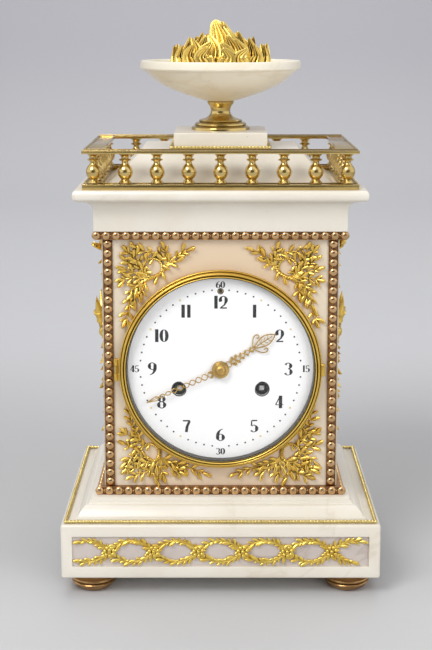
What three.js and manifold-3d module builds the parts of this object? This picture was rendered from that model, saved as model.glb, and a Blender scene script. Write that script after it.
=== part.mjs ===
// A mantel clock of white marble with gilt mounts: a hinged bezel, a spring-driven movement with its
// pendulum, a balustrade gallery and a flaming urn. The clock stands on z = 0 and its dial faces -Y.

import * as THREE from "three";
import { mergeVertices } from "three/addons/utils/BufferGeometryUtils.js";
import Module from "manifold-3d";

const wasm = await Module();
wasm.setup();

// Base and feet, in millimetres
const BASE_WIDTH = 240;
const BASE_DEPTH = 182;
const BASE_HEIGHT = 41.8;
const BASE_EDGE = 1.6;
const FOOT_HEIGHT = 14.6;
const FOOT_RADIUS = 17.7;
const FOOT_INSET = 22.8;
const FRIEZE_MARGIN = 8.6;
const FRIEZE_HEIGHT = 23.6;
const FRIEZE_SINK = 2;

// Mouldings: each inset is measured in from the edge of the base, the body's margin out from the bezel
const ROPE_INSET = 2.2;
const ROPE_THICKNESS = 3;
const STEP_INSET = 10;
const STEP_HEIGHT = 14.1;
const STEP_TOP_INSET = 21.5;
const BODY_INSET = 31;
const BODY_MARGIN = 12.5;
const BODY_HEIGHT = 204.3;
const PANEL_THICKNESS = 14;
const NECK_INSET = 25.5;
const NECK_HEIGHT = 15.7;
const COVE_HEIGHT = 8.5;
const SLAB_INSET = 11.5;
const SLAB_HEIGHT = 7.8;

// Beaded bands
const BAND_HEIGHT = 6.4;
const BAND_BACK = 3.6;
const STRIP_WIDTH = 7.2;
const STRIP_MARGIN = 1;
const STRIP_BACK = 1.6;
const BEAD_RADIUS = 3;
const BEAD_RISE = 3.2;
const BEAD_PITCH = 7.3;
const BEAD_FACETS = 4;

// Gallery
const GALLERY_INSET = 18.25;
const LOWER_RAIL_WIDTH = 13;
const LOWER_RAIL_HEIGHT = 4.1;
const TOP_RAIL_WIDTH = 14.5;
const TOP_RAIL_HEIGHT = 2.5;
const BALUSTER_HEIGHT = 22.4;
const BALUSTER_RADIUS = 5.1;
const BALUSTER_INSET = 8;
const FRONT_BALUSTERS = 9;
const SIDE_BALUSTERS = 5;

// Roof, pedestal and urn
const ROOF_END_GAP = 2.25;
const ROOF_FRONT_GAP = 2.75;
const ROOF_SLOPE = 19;
const ROOF_END_SLOPE = 26.5;
const ROOF_HEIGHT = 26.4;
const PEDESTAL_WIDTH = 71;
const PEDESTAL_HEIGHT = 12.6;
const PEDESTAL_EDGE = 1.2;
const URN_FOOT_RADIUS = 23.5;
const URN_FOOT_HEIGHT = 22.4;
const URN_WAIST_RADIUS = 7.8;
const BOWL_RADIUS = 62.25;
const BOWL_HEIGHT = 31.2;
const BOWL_BAND = 7.1;
const BOWL_SEAT_RADIUS = 9.4;
const BOWL_LIP = 5;
const BOWL_DISH = 3;
const FLAME_RADIUS = 40;
const FLAME_HEIGHT = 35;

// Dial and bezel
const DIAL_DROP = 3.15;
const DIAL_RADIUS = 71.7;
const DIAL_EDGE = 1.4;
const DIAL_DOME = 2;
const DIAL_HOLE_RADIUS = 67;
const DIAL_RING_RADIUS = 75;
const DIAL_RING_BORE = 24;
const DIAL_RING_WEB = 1.2;
const DIAL_RING_RIM = 4.2;
const BEZEL_RADIUS = 76.5;
const BEZEL_LIP_RADIUS = 70.2;
const BEZEL_DEPTH = 7.2;
const GLASS_THICKNESS = 1.6;
const GLASS_DOME = 8.6;
const GLASS_SEAT = 2.2;
const HINGE_RADIUS = 1.6;
const HINGE_PIN_RADIUS = 0.6;
const HINGE_OFFSET = 2.3;
const KNUCKLE_LENGTH = 6;

// Back ring and door
const BACK_HOLE_RADIUS = 58;
const BACK_RING_BORE = 50;
const BACK_RING_RADIUS = 62;
const BACK_RING_THICKNESS = 1.6;
const BACK_DOOR_RADIUS = 60;
const BACK_DOOR_THICKNESS = 1.6;
const STRAP_HALF_SPREAD = 53.5;
const STRAP_WIDTH = 8;
const STRAP_THICKNESS = 1.6;

// Movement: arbor places are measured from the dial centre, and depths from the front of the body
const WINDING_SPREAD = 31.3;
const WINDING_DROP = 15.4;
const WINDING_HOLE_RADIUS = 5.3;
const WINDING_SQUARE = 3.5;
const WINDING_ARBOR_RADIUS = 2.2;
const REGULATOR_RISE = 59.7;
const REGULATOR_RADIUS = 1.2;
const REGULATOR_HOLE_RADIUS = 1.9;
const ESCAPE_RISE = 28.5;
const PALLET_RISE = 44.5;
const PLATE_RADIUS = 48;
const PLATE_THICKNESS = 2;
const PLATE_DEPTH = 10;
const PLATE_GAP = 36;
const PILLAR_CIRCLE = 42;
const PILLAR_RADIUS = 3;
const POST_RADIUS = 2;
const ARBOR_RADIUS = 1.4;
const PIVOT_RADIUS = 0.8;
const WHEEL_THICKNESS = 1.4;
const PINION_LENGTH = 5;
const HUB = 4;
const BARREL_RADIUS = 12;
const BARREL_LENGTH = 20;
const WHEEL_TEETH = 24;
const PINION_LEAVES = 6;
const MINUTE_WHEEL_TEETH = 18;
const MOTION_DISTANCE = 14.5;
const ESCAPE_RADIUS = 11;
const ESCAPE_TEETH = 20;
const PALLET_CLEARANCE = 1;
const PALLET_SPAN = 75 * Math.PI / 180;
const RATCHET_RADIUS = 7;
const RATCHET_GAP = 2;
const RATCHET_TEETH = 10;
const COUNT_WHEEL_RADIUS = 14;
const COUNT_WHEEL_NOTCHES = 11;
const BELL_RADIUS = 33;
const BELL_LENGTH = 25;
const BELL_WALL = 2;
const BELL_GAP = 23;
const HAMMER_X = -33;
const HAMMER_RISE = 22;
const HAMMER_REACH = 18;
const HAMMER_GAP = 2;
const HAMMER_HEAD_RADIUS = 2.6;
const HAMMER_HEAD_LENGTH = 6;
const COCK_GAP = 9;
const COCK_WIDTH = 24;
const PENDULUM_LENGTH = 110;
const PENDULUM_GAP = 14.5;
const ROD_RADIUS = 1.1;
const BOB_RADIUS = 21;
const BOB_THICKNESS = 9;

// Hands: clock angles are measured clockwise from the 12
const MINUTE_HAND_LENGTH = 61.4;
const MINUTE_HAND_ANGLE = 245.7 * Math.PI / 180;
const HOUR_HAND_LENGTH = 49.5;
const HOUR_HAND_ANGLE = 56.4 * Math.PI / 180;
const HAND_THICKNESS = 0.8;
const HOUR_HAND_GAP = 0.9;
const MINUTE_HAND_GAP = 1;
const CANNON_RADIUS = 2.4;
const HOUR_PIPE_RADIUS = 3.6;
const HUB_RADIUS = 6.2;
const HUB_RISE = 2.6;

// Gilt relief
const RELIEF = 2.6;
const TROPHY_RELIEF = 12;
const MOUNT_RELIEF = 9.5;
const MOUNT_STEM_RELIEF = 5;
const WREATH_RADIUS = 8;
const WREATH_WIDTH = 4;
const SPRAY_LEAF_LENGTH = 11;
const SPRAY_LEAF_WIDTH = 4.6;
const CROWN_LEAF_SHARE = 0.8;
const CROWN_LEAF_WIDTH = 5.5;
const LEAF_SPREAD = 0.5;
const MOUNT_LEAF_LENGTH = 13;
const MOUNT_LEAF_WIDTH = 8;
const MOUNT_STEM_WIDTH = 3;
const MOUNT_SWAY = 2;
const TORCH_SPREAD = 9;
const TORCH_WIDTH = 7;
const TORCH_FLAME_LENGTH = 16;
const TORCH_FLAME_WIDTH = 12;
const GUILLOCHE_END_GAP = 1.5;
const GUILLOCHE_PITCH = 33.4;
const GUILLOCHE_RISE = 7;

// Fits and facets
const CLEARANCE = 0.3;
const WELD = 1e-4;
const SINK = 0.5;
const ROUND = 20;
const HIDDEN_ROUND = 14;
const SMALL_ROUND = 6;
const PIPE_FACETS = 8;
const CURVE_STEPS = 3;

// Heights and depths that follow from the sizes above
const baseTop = FOOT_HEIGHT + BASE_HEIGHT;
const bodyBottom = baseTop + STEP_HEIGHT;
const bodyTop = bodyBottom + BODY_HEIGHT;
const slabBottom = bodyTop + NECK_HEIGHT + COVE_HEIGHT;
const slabTop = slabBottom + SLAB_HEIGHT;
const galleryTop = slabTop + LOWER_RAIL_HEIGHT + BALUSTER_HEIGHT + TOP_RAIL_HEIGHT;
const roofTop = slabTop + ROOF_HEIGHT;
const pedestalTop = roofTop + PEDESTAL_HEIGHT;
const bowlBottom = pedestalTop + URN_FOOT_HEIGHT;
const bowlTop = bowlBottom + BOWL_HEIGHT;
const dialHeight = bodyBottom + BODY_HEIGHT / 2 - DIAL_DROP;
const halfDepth = BASE_DEPTH / 2;
const halfWidth = BASE_WIDTH / 2;
const stretch = halfWidth - halfDepth;
const bodyFront = BODY_INSET - halfDepth;
const bodyBack = -bodyFront;
const bodySide = BEZEL_RADIUS + BODY_MARGIN;
const bodyStretch = bodySide - bodyBack;

// Finishes
const marble = finish(0xf1ece2, 0.35, 0);
const blushMarble = finish(0xe9d9c8, 0.4, 0);
const gilt = finish(0xd9ae45, 0.38, 1);
const bronze = finish(0x8a6a42, 0.45, 1);
const brass = finish(0xc9a557, 0.3, 1);
const enamel = finish(0xfafaf8, 0.12, 0);
const steel = finish(0x6d7078, 0.35, 1);
const bellMetal = finish(0xb9b2a0, 0.3, 1);
const glass = finish(0xf4f8f8, 0.03, 0);

function finish(color, roughness, metalness) {
  return new THREE.MeshStandardMaterial({ color, roughness, metalness });
}

// Welds a geometry to one skin of shared corners and drops triangles that collapse on the axis.
function weld(geometry) {
  geometry.deleteAttribute("normal");
  geometry.deleteAttribute("uv");
  const welded = mergeVertices(geometry, WELD);
  const corners = welded.index.array;
  const kept = [];
  for (let i = 0; i < corners.length; i += 3) {
    const [a, b, c] = corners.subarray(i, i + 3);
    if (a !== b && b !== c && c !== a) {
      kept.push(a, b, c);
    }
  }
  welded.setIndex(kept);
  return welded;
}

// Volume enclosed by a welded skin, negative where its faces point inwards.
function enclosedVolume(welded) {
  const corner = welded.attributes.position;
  const index = welded.index.array;
  const a = new THREE.Vector3();
  const b = new THREE.Vector3();
  const c = new THREE.Vector3();
  let volume = 0;
  for (let i = 0; i < index.length; i += 3) {
    a.fromBufferAttribute(corner, index[i]);
    b.fromBufferAttribute(corner, index[i + 1]);
    c.fromBufferAttribute(corner, index[i + 2]);
    volume += a.dot(b.cross(c)) / 6;
  }
  return volume;
}

// A solid for joining and cutting, with its faces turned outwards.
function solid(shape) {
  if (shape instanceof wasm.Manifold) {
    return shape;
  }
  const welded = weld(shape);
  const triVerts = new Uint32Array(welded.index.array);
  if (enclosedVolume(welded) < 0) {
    triVerts.reverse();
  }
  const vertProperties = new Float32Array(welded.attributes.position.array);
  return new wasm.Manifold(new wasm.Mesh({ numProp: 3, vertProperties, triVerts }));
}

function join(...shapes) {
  return shapes.map(solid).reduce((whole, shape) => whole.add(shape));
}

function cut(shape, ...tools) {
  return tools.map(solid).reduce((whole, tool) => whole.subtract(tool), solid(shape));
}

// A named mesh of a solid in a group.
function piece(group, name, shape, material) {
  const { vertProperties, triVerts } = solid(shape).getMesh();
  const geometry = new THREE.BufferGeometry();
  geometry.setAttribute("position", new THREE.BufferAttribute(vertProperties, 3));
  geometry.setIndex(new THREE.BufferAttribute(triVerts, 1));
  geometry.computeVertexNormals();
  const mesh = new THREE.Mesh(geometry, material);
  mesh.name = name;
  group.add(mesh);
  return mesh;
}

function toPoints(pairs) {
  return pairs.map(([x, y]) => new THREE.Vector2(x, y));
}

// A profile of radius and depth turned about Y: it starts and ends on the axis, or closes on itself.
function turnedY(pairs, sides) {
  return new THREE.LatheGeometry(toPoints(pairs), sides);
}

// A profile of radius and height turned about Z.
function turnedZ(points, sides) {
  return new THREE.LatheGeometry(points, sides).rotateX(Math.PI / 2);
}

function rodY(radius, front, back, sides = SMALL_ROUND) {
  return turnedY([[0, front], [radius, front], [radius, back], [0, back]], sides);
}

function ringY(inner, outer, front, back, sides = SMALL_ROUND) {
  return turnedY([[inner, front], [outer, front], [outer, back], [inner, back], [inner, front]], sides);
}

// A moulding of distance from the middle and height, mitred round a rectangle: four turned sides whose
// corners are then pushed apart along X, at the foot by one push and at the head by another.
function moulding(points, push, headPush = push) {
  const heights = points.map((point) => point.y);
  const foot = Math.min(...heights);
  const rise = Math.max(...heights) - foot;
  const geometry = new THREE.LatheGeometry(points, 4, Math.PI / 4);
  geometry.scale(Math.SQRT2, 1, Math.SQRT2);
  geometry.rotateX(Math.PI / 2);
  const corner = geometry.attributes.position;
  for (let i = 0; i < corner.count; i += 1) {
    const x = corner.getX(i);
    if (Math.abs(x) > WELD) {
      const share = (corner.getZ(i) - foot) / rise;
      corner.setX(i, x + Math.sign(x) * (push + share * (headPush - push)));
    }
  }
  return geometry;
}

function box(low, high) {
  const geometry = new THREE.BoxGeometry(high[0] - low[0], high[1] - low[1], high[2] - low[2]);
  return geometry.translate((low[0] + high[0]) / 2, (low[1] + high[1]) / 2, (low[2] + high[2]) / 2);
}

// An outline in the plane of the dial, given thickness from front to back.
function plate(shape, front, back) {
  const geometry = new THREE.ExtrudeGeometry(shape, { depth: back - front, bevelEnabled: false });
  return geometry.rotateX(Math.PI / 2).translate(0, back, 0);
}

function polar(radius, angle) {
  return new THREE.Vector2(radius * Math.cos(angle), radius * Math.sin(angle));
}

function circlePoints(x, z, radius, sides) {
  const centre = new THREE.Vector2(x, z);
  return Array.from({ length: sides }, (_, i) => polar(radius, 2 * Math.PI * i / sides).add(centre));
}

function withHoles(points, holes) {
  const shape = new THREE.Shape(points);
  shape.holes = holes.map((hole) => new THREE.Path(hole));
  return shape;
}

function rectangle(left, right, bottom, top) {
  return toPoints([[left, bottom], [right, bottom], [right, top], [left, top]]);
}

const clock = new THREE.Group();

// Feet: turned buns under the corners of the base
function foot() {
  const path = new THREE.Path();
  path.moveTo(0, 0);
  path.lineTo(0.86 * FOOT_RADIUS, 0);
  path.lineTo(FOOT_RADIUS, 0.2 * FOOT_HEIGHT);
  path.lineTo(FOOT_RADIUS, 0.45 * FOOT_HEIGHT);
  path.lineTo(0.9 * FOOT_RADIUS, 0.55 * FOOT_HEIGHT);
  path.lineTo(0.97 * FOOT_RADIUS, 0.7 * FOOT_HEIGHT);
  path.lineTo(0.8 * FOOT_RADIUS, FOOT_HEIGHT);
  path.lineTo(0, FOOT_HEIGHT);
  return turnedZ(path.getPoints(), 10);
}

for (const [end, ySign] of [["front", -1], ["back", 1]]) {
  for (const [hand, xSign] of [["left", -1], ["right", 1]]) {
    const mesh = piece(clock, `foot_${end}_${hand}`, foot(), bronze);
    mesh.position.set(xSign * (halfWidth - FOOT_INSET), ySign * (halfDepth - FOOT_INSET), 0);
  }
}

// Base block with its sunk frieze panel
function roundedBlock(reach, bottom, top, edge) {
  const path = new THREE.Path();
  path.moveTo(0, bottom);
  path.lineTo(reach - edge, bottom);
  path.quadraticCurveTo(reach, bottom, reach, bottom + edge);
  path.lineTo(reach, top - edge);
  path.quadraticCurveTo(reach, top, reach - edge, top);
  path.lineTo(0, top);
  return path.getPoints(CURVE_STEPS - 1);
}

const friezeHalf = halfWidth - FRIEZE_MARGIN;
const friezeMiddle = FOOT_HEIGHT + BASE_HEIGHT / 2;
const friezeFloor = FRIEZE_SINK - halfDepth;
const friezeSink = box(
  [-friezeHalf, -halfDepth - 1, friezeMiddle - FRIEZE_HEIGHT / 2],
  [friezeHalf, friezeFloor, friezeMiddle + FRIEZE_HEIGHT / 2],
);
const plinth = moulding(roundedBlock(halfDepth, FOOT_HEIGHT, baseTop, BASE_EDGE), stretch);
piece(clock, "base_plinth", cut(plinth, friezeSink), marble);

// Wire borders and the beaded bands are frames that lie on what they go round
function halfRoundFrame(outer, bottom, thickness) {
  const path = new THREE.Path();
  path.moveTo(outer - thickness, bottom);
  path.lineTo(outer, bottom);
  path.quadraticCurveTo(outer, bottom + thickness, outer - thickness / 2, bottom + thickness);
  path.lineTo(outer - thickness, bottom + thickness);
  path.lineTo(outer - thickness, bottom);
  return path.getPoints(CURVE_STEPS);
}

const baseRope = halfRoundFrame(halfDepth - ROPE_INSET, baseTop, ROPE_THICKNESS);
piece(clock, "base_rope", moulding(baseRope, stretch), gilt);

// Step moulding: a fillet, a wave and a small fillet under the body
function stepProfile() {
  const foot = halfDepth - STEP_INSET;
  const head = halfDepth - STEP_TOP_INSET;
  const fillet = 0.2 * STEP_HEIGHT;
  const middle = (foot + head) / 2;
  const path = new THREE.Path();
  path.moveTo(0, baseTop);
  path.lineTo(foot, baseTop);
  path.lineTo(foot, baseTop + fillet);
  path.quadraticCurveTo(foot - 1, baseTop + 2.2 * fillet, middle, baseTop + 2.6 * fillet);
  path.quadraticCurveTo(head + 1, baseTop + 3 * fillet, head, bodyBottom - fillet);
  path.lineTo(head, bodyBottom);
  path.lineTo(0, bodyBottom);
  return path.getPoints(CURVE_STEPS);
}

piece(clock, "base_step", moulding(stepProfile(), stretch, bodyStretch), marble);

// Body panels: the front and back run the full width, the sides stand between them
const frontOutline = rectangle(-bodySide, bodySide, bodyBottom, bodyTop);
const dialHole = circlePoints(0, dialHeight, DIAL_HOLE_RADIUS, ROUND);
const backHole = circlePoints(0, dialHeight, BACK_HOLE_RADIUS, ROUND);
piece(
  clock,
  "front_panel",
  plate(withHoles(frontOutline, [dialHole]), bodyFront, bodyFront + PANEL_THICKNESS),
  blushMarble,
);
piece(
  clock,
  "back_panel",
  plate(withHoles(frontOutline, [backHole]), bodyBack - PANEL_THICKNESS, bodyBack),
  marble,
);
for (const [hand, xSign] of [["left", -1], ["right", 1]]) {
  const outer = xSign * bodySide;
  const inner = xSign * (bodySide - PANEL_THICKNESS);
  const panel = box(
    [Math.min(outer, inner), bodyFront + PANEL_THICKNESS, bodyBottom],
    [Math.max(outer, inner), bodyBack - PANEL_THICKNESS, bodyTop],
  );
  piece(clock, `side_panel_${hand}`, panel, marble);
}

// A bead: a low facetted stud that rises towards -Y from its seat
function bead() {
  return turnedY([[0, -BEAD_RISE], [BEAD_RADIUS, SINK], [0, SINK]], BEAD_FACETS);
}

function beadRow(length) {
  const count = Math.round(length / BEAD_PITCH);
  return Array.from({ length: count }, (_, i) => length * ((i + 0.5) / count - 0.5));
}

// A band round the body with beads on its front and sides
function beadBand(bottom) {
  const inner = bodyBack;
  const outer = inner + BAND_BACK;
  const frame = toPoints([
    [inner, bottom],
    [outer, bottom],
    [outer, bottom + BAND_HEIGHT],
    [inner, bottom + BAND_HEIGHT],
    [inner, bottom],
  ]);
  const middle = bottom + BAND_HEIGHT / 2;
  const beads = beadRow(2 * (outer + bodyStretch)).map((x) => bead().translate(x, -outer, middle));
  for (const y of beadRow(2 * outer)) {
    beads.push(bead().rotateZ(Math.PI / 2).translate(outer + bodyStretch, y, middle));
    beads.push(bead().rotateZ(-Math.PI / 2).translate(-outer - bodyStretch, y, middle));
  }
  return join(moulding(frame, bodyStretch), ...beads);
}

piece(clock, "bead_band_foot", beadBand(bodyBottom), bronze);
piece(clock, "bead_band_head", beadBand(bodyTop - BAND_HEIGHT), bronze);

const stripMiddle = bodySide - STRIP_MARGIN - STRIP_WIDTH / 2;
const stripLength = BODY_HEIGHT - 2 * BAND_HEIGHT;
for (const [hand, xSign] of [["left", -1], ["right", 1]]) {
  const x = xSign * stripMiddle;
  const strip = box(
    [x - STRIP_WIDTH / 2, bodyFront - STRIP_BACK, bodyBottom + BAND_HEIGHT],
    [x + STRIP_WIDTH / 2, bodyFront, bodyTop - BAND_HEIGHT],
  );
  const middle = (bodyBottom + bodyTop) / 2;
  const beads = beadRow(stripLength).map((z) => bead().translate(x, bodyFront - STRIP_BACK, middle + z));
  piece(clock, `bead_strip_${hand}`, join(strip, ...beads), bronze);
}

// Cornice: a plain neck, a cove and a slab with a rounded edge
function corniceProfile() {
  const neck = halfDepth - NECK_INSET;
  const slab = halfDepth - SLAB_INSET;
  const coveFoot = bodyTop + NECK_HEIGHT;
  const path = new THREE.Path();
  path.moveTo(0, bodyTop);
  path.lineTo(neck, bodyTop);
  path.lineTo(neck, coveFoot);
  path.quadraticCurveTo(neck, slabBottom, slab - 3, slabBottom);
  path.lineTo(slab - 1, slabBottom);
  path.quadraticCurveTo(slab + 1, slabBottom + SLAB_HEIGHT / 2, slab - 1, slabTop);
  path.lineTo(0, slabTop);
  return path.getPoints(CURVE_STEPS + 1);
}

piece(clock, "cornice", moulding(corniceProfile(), bodyStretch), marble);

// Gallery: each side has its lower rail, its turned balusters and its top rail
const galleryHalfDepth = halfDepth - GALLERY_INSET;
const galleryHalfWidth = galleryHalfDepth + bodyStretch;
const balusterFoot = slabTop + LOWER_RAIL_HEIGHT;
const balusterHead = balusterFoot + BALUSTER_HEIGHT;

function baluster(x, y) {
  const bottom = balusterFoot - SINK;
  const top = balusterHead + SINK;
  const at = (share) => balusterFoot + share * BALUSTER_HEIGHT;
  const pairs = [
    [0, bottom],
    [0.7 * BALUSTER_RADIUS, bottom],
    [BALUSTER_RADIUS, at(0.33)],
    [0.35 * BALUSTER_RADIUS, at(0.7)],
    [0.85 * BALUSTER_RADIUS, at(0.8)],
    [0.6 * BALUSTER_RADIUS, top],
    [0, top],
  ];
  return turnedZ(toPoints(pairs), 4).translate(x, y, 0);
}

// Evenly spaced places from one end to the other, the ends included.
function evenly(count, reach) {
  return Array.from({ length: count }, (_, i) => -reach + 2 * reach * i / (count - 1));
}

for (const [end, ySign] of [["front", -1], ["back", 1]]) {
  const outer = ySign * galleryHalfDepth;
  const edge = (width) => [Math.min(outer, outer - ySign * width), Math.max(outer, outer - ySign * width)];
  const [lowerFront, lowerBack] = edge(LOWER_RAIL_WIDTH);
  const [topFront, topBack] = edge(TOP_RAIL_WIDTH);
  const places = evenly(FRONT_BALUSTERS, galleryHalfWidth - BALUSTER_INSET);
  const rails = [
    box([-galleryHalfWidth, lowerFront, slabTop], [galleryHalfWidth, lowerBack, balusterFoot]),
    box([-galleryHalfWidth, topFront, balusterHead], [galleryHalfWidth, topBack, galleryTop]),
  ];
  const balusters = places.map((x) => baluster(x, outer - ySign * BALUSTER_INSET));
  piece(clock, `gallery_${end}`, join(...rails, ...balusters), brass);
}

for (const [hand, xSign] of [["left", -1], ["right", 1]]) {
  const outer = xSign * galleryHalfWidth;
  const edge = (width) => [Math.min(outer, outer - xSign * width), Math.max(outer, outer - xSign * width)];
  const [lowerLeft, lowerRight] = edge(LOWER_RAIL_WIDTH);
  const [topLeft, topRight] = edge(TOP_RAIL_WIDTH);
  const lowerReach = galleryHalfDepth - LOWER_RAIL_WIDTH;
  const topReach = galleryHalfDepth - TOP_RAIL_WIDTH;
  const places = evenly(SIDE_BALUSTERS + 2, galleryHalfDepth - BALUSTER_INSET).slice(1, -1);
  const rails = [
    box([lowerLeft, -lowerReach, slabTop], [lowerRight, lowerReach, balusterFoot]),
    box([topLeft, -topReach, balusterHead], [topRight, topReach, galleryTop]),
  ];
  const balusters = places.map((y) => baluster(outer - xSign * BALUSTER_INSET, y));
  piece(clock, `gallery_${hand}`, join(...rails, ...balusters), brass);
}

// Roof block, pedestal and the wire border round the pedestal
const roofFoot = galleryHalfDepth - LOWER_RAIL_WIDTH - ROOF_FRONT_GAP;
const roofPush = galleryHalfWidth - LOWER_RAIL_WIDTH - ROOF_END_GAP - roofFoot;
const roofEdge = 0.06 * ROOF_HEIGHT;
const roofProfile = toPoints([
  [0, slabTop],
  [roofFoot, slabTop],
  [roofFoot, slabTop + roofEdge],
  [roofFoot - ROOF_SLOPE, roofTop],
  [0, roofTop],
]);
const roofBlock = moulding(roofProfile, roofPush, roofPush + ROOF_SLOPE - ROOF_END_SLOPE);
piece(clock, "roof_block", roofBlock, marble);
const pedestalHalf = PEDESTAL_WIDTH / 2;
const pedestal = moulding(roundedBlock(pedestalHalf, roofTop, pedestalTop, PEDESTAL_EDGE), 0);
piece(clock, "pedestal_block", pedestal, marble);
const pedestalRope = halfRoundFrame(pedestalHalf + CLEARANCE + ROPE_THICKNESS, roofTop, ROPE_THICKNESS);
piece(clock, "pedestal_rope", moulding(pedestalRope, 0), gilt);

// Urn: a brass spool, a marble bowl and a gilt flame
function urnFootProfile() {
  const at = (share) => pedestalTop + share * URN_FOOT_HEIGHT;
  const path = new THREE.Path();
  path.moveTo(0, pedestalTop);
  path.lineTo(URN_FOOT_RADIUS, pedestalTop);
  path.lineTo(URN_FOOT_RADIUS, at(0.11));
  path.lineTo(0.9 * URN_FOOT_RADIUS, at(0.13));
  path.lineTo(0.87 * URN_FOOT_RADIUS, at(0.24));
  path.quadraticCurveTo(URN_WAIST_RADIUS, at(0.28), URN_WAIST_RADIUS, at(0.62));
  path.quadraticCurveTo(URN_WAIST_RADIUS, at(0.85), BOWL_SEAT_RADIUS, at(0.9));
  path.lineTo(BOWL_SEAT_RADIUS, bowlBottom);
  path.lineTo(0, bowlBottom);
  return path.getPoints(CURVE_STEPS - 1);
}

piece(clock, "urn_foot", turnedZ(urnFootProfile(), 14), brass);

const dishFloor = bowlTop - BOWL_DISH;
function bowlProfile() {
  const bandBottom = bowlTop - BOWL_BAND;
  const path = new THREE.Path();
  path.moveTo(0, bowlBottom);
  path.lineTo(BOWL_SEAT_RADIUS + 1, bowlBottom);
  const swell = bowlBottom + 0.14 * BOWL_HEIGHT;
  path.quadraticCurveTo(0.62 * BOWL_RADIUS, swell, 0.94 * BOWL_RADIUS, bandBottom - 1);
  path.lineTo(BOWL_RADIUS, bandBottom);
  path.lineTo(BOWL_RADIUS, bowlTop);
  path.lineTo(BOWL_RADIUS - BOWL_LIP, bowlTop);
  path.lineTo(BOWL_RADIUS - BOWL_LIP - BOWL_DISH, dishFloor);
  path.lineTo(0, dishFloor);
  return path.getPoints(CURVE_STEPS + 1);
}

piece(clock, "urn_bowl", turnedZ(bowlProfile(), ROUND), marble);

// One tongue of flame: a tapering spike that sways outwards and curls back at its tip
function tongue(reach, angle, height, girth, sway) {
  const geometry = turnedZ(toPoints([[0, 0], [girth, 0], [0.8 * girth, 0.5 * height], [0, height]]), 4);
  const corner = geometry.attributes.position;
  for (let i = 0; i < corner.count; i += 1) {
    const rise = corner.getZ(i) / height;
    corner.setX(i, corner.getX(i) + sway * Math.sin(2.4 * rise) + reach);
  }
  return geometry.rotateZ(angle);
}

function flame() {
  const heartPairs = [
    [0, 0],
    [0.9 * FLAME_RADIUS, 0],
    [0.75 * FLAME_RADIUS, 0.2 * FLAME_HEIGHT],
    [0, 0.6 * FLAME_HEIGHT],
  ];
  const heart = turnedZ(toPoints(heartPairs), 10);
  const tongues = [tongue(0, 0.4, FLAME_HEIGHT, 0.2 * FLAME_RADIUS, 0.08 * FLAME_RADIUS)];
  const rings = [
    { count: 8, reach: 0.68, height: 0.52, girth: 0.24, sway: 0.14, turn: 0 },
    { count: 4, reach: 0.34, height: 0.8, girth: 0.24, sway: 0.13, turn: 0.4 },
  ];
  for (const { count, reach, height, girth, sway, turn } of rings) {
    for (let i = 0; i < count; i += 1) {
      const angle = turn + 2 * Math.PI * i / count;
      const uneven = 1 + 0.08 * Math.sin(5 * i);
      const rise = height * uneven * FLAME_HEIGHT;
      tongues.push(tongue(reach * FLAME_RADIUS, angle, rise, girth * FLAME_RADIUS, sway * FLAME_RADIUS));
    }
  }
  return join(heart, ...tongues);
}

piece(clock, "flame_finial", flame(), gilt).position.z = dishFloor;

// Gilt relief: leaves, stems and rings that rise to a ridge from a flat back in the plane of a panel
function leaf(x, z, angle, length, width, rise = RELIEF) {
  const geometry = new THREE.ConeGeometry(1, rise, 4).translate(0, rise / 2, 0).rotateX(Math.PI);
  geometry.scale(length / 2, 1, width / 2);
  return geometry.translate(0.4 * length, 0, 0).rotateY(-angle).translate(x, 0, z);
}

function stem(curve, steps, width, rise = RELIEF) {
  const section = new THREE.Shape(toPoints([[0, -width / 2], [rise, 0], [0, width / 2]]));
  return new THREE.ExtrudeGeometry(section, { steps, extrudePath: curve, bevelEnabled: false });
}

function reliefRing(x, z, radius, width, sides) {
  const inner = radius - width / 2;
  const profile = [[inner, 0], [radius, -RELIEF], [radius + width / 2, 0], [inner, 0]];
  return turnedY(profile, sides).translate(x, 0, z);
}

function curveThrough(pairs) {
  return new THREE.CatmullRomCurve3(pairs.map(([x, z]) => new THREE.Vector3(x, 0, z)));
}

// Leaves set alternately along a stem, and a bud at its tip
function leafyStem(pairs, count, length, width) {
  const curve = curveThrough(pairs);
  const shapes = [stem(curve, 3, 0.4 * width)];
  for (let i = 0; i <= count; i += 1) {
    const share = (i + 0.6) / (count + 0.6);
    const point = curve.getPoint(share);
    const tangent = curve.getTangent(share);
    const alternate = i % 2 === 0 ? LEAF_SPREAD : -LEAF_SPREAD;
    const spread = i === count ? 0 : alternate;
    const angle = Math.atan2(tangent.z, tangent.x) + spread;
    shapes.push(leaf(point.x, point.z, angle, length, width));
  }
  return shapes;
}

// The frame of beads round the dial, measured from the dial centre
const frameSide = bodySide - STRIP_MARGIN - STRIP_WIDTH;
const frameRise = bodyTop - BAND_HEIGHT - dialHeight;
const frameDrop = dialHeight - bodyBottom - BAND_HEIGHT;

// A place in a corner: an angle in degrees, and a share of the way from the bezel to the frame
function cornerPlace([degrees, share], reach) {
  const angle = degrees * Math.PI / 180;
  const frame = Math.min(frameSide / Math.cos(angle), reach / Math.sin(angle));
  const radius = BEZEL_RADIUS + share * (frame - BEZEL_RADIUS);
  return polar(radius, angle);
}

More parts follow.
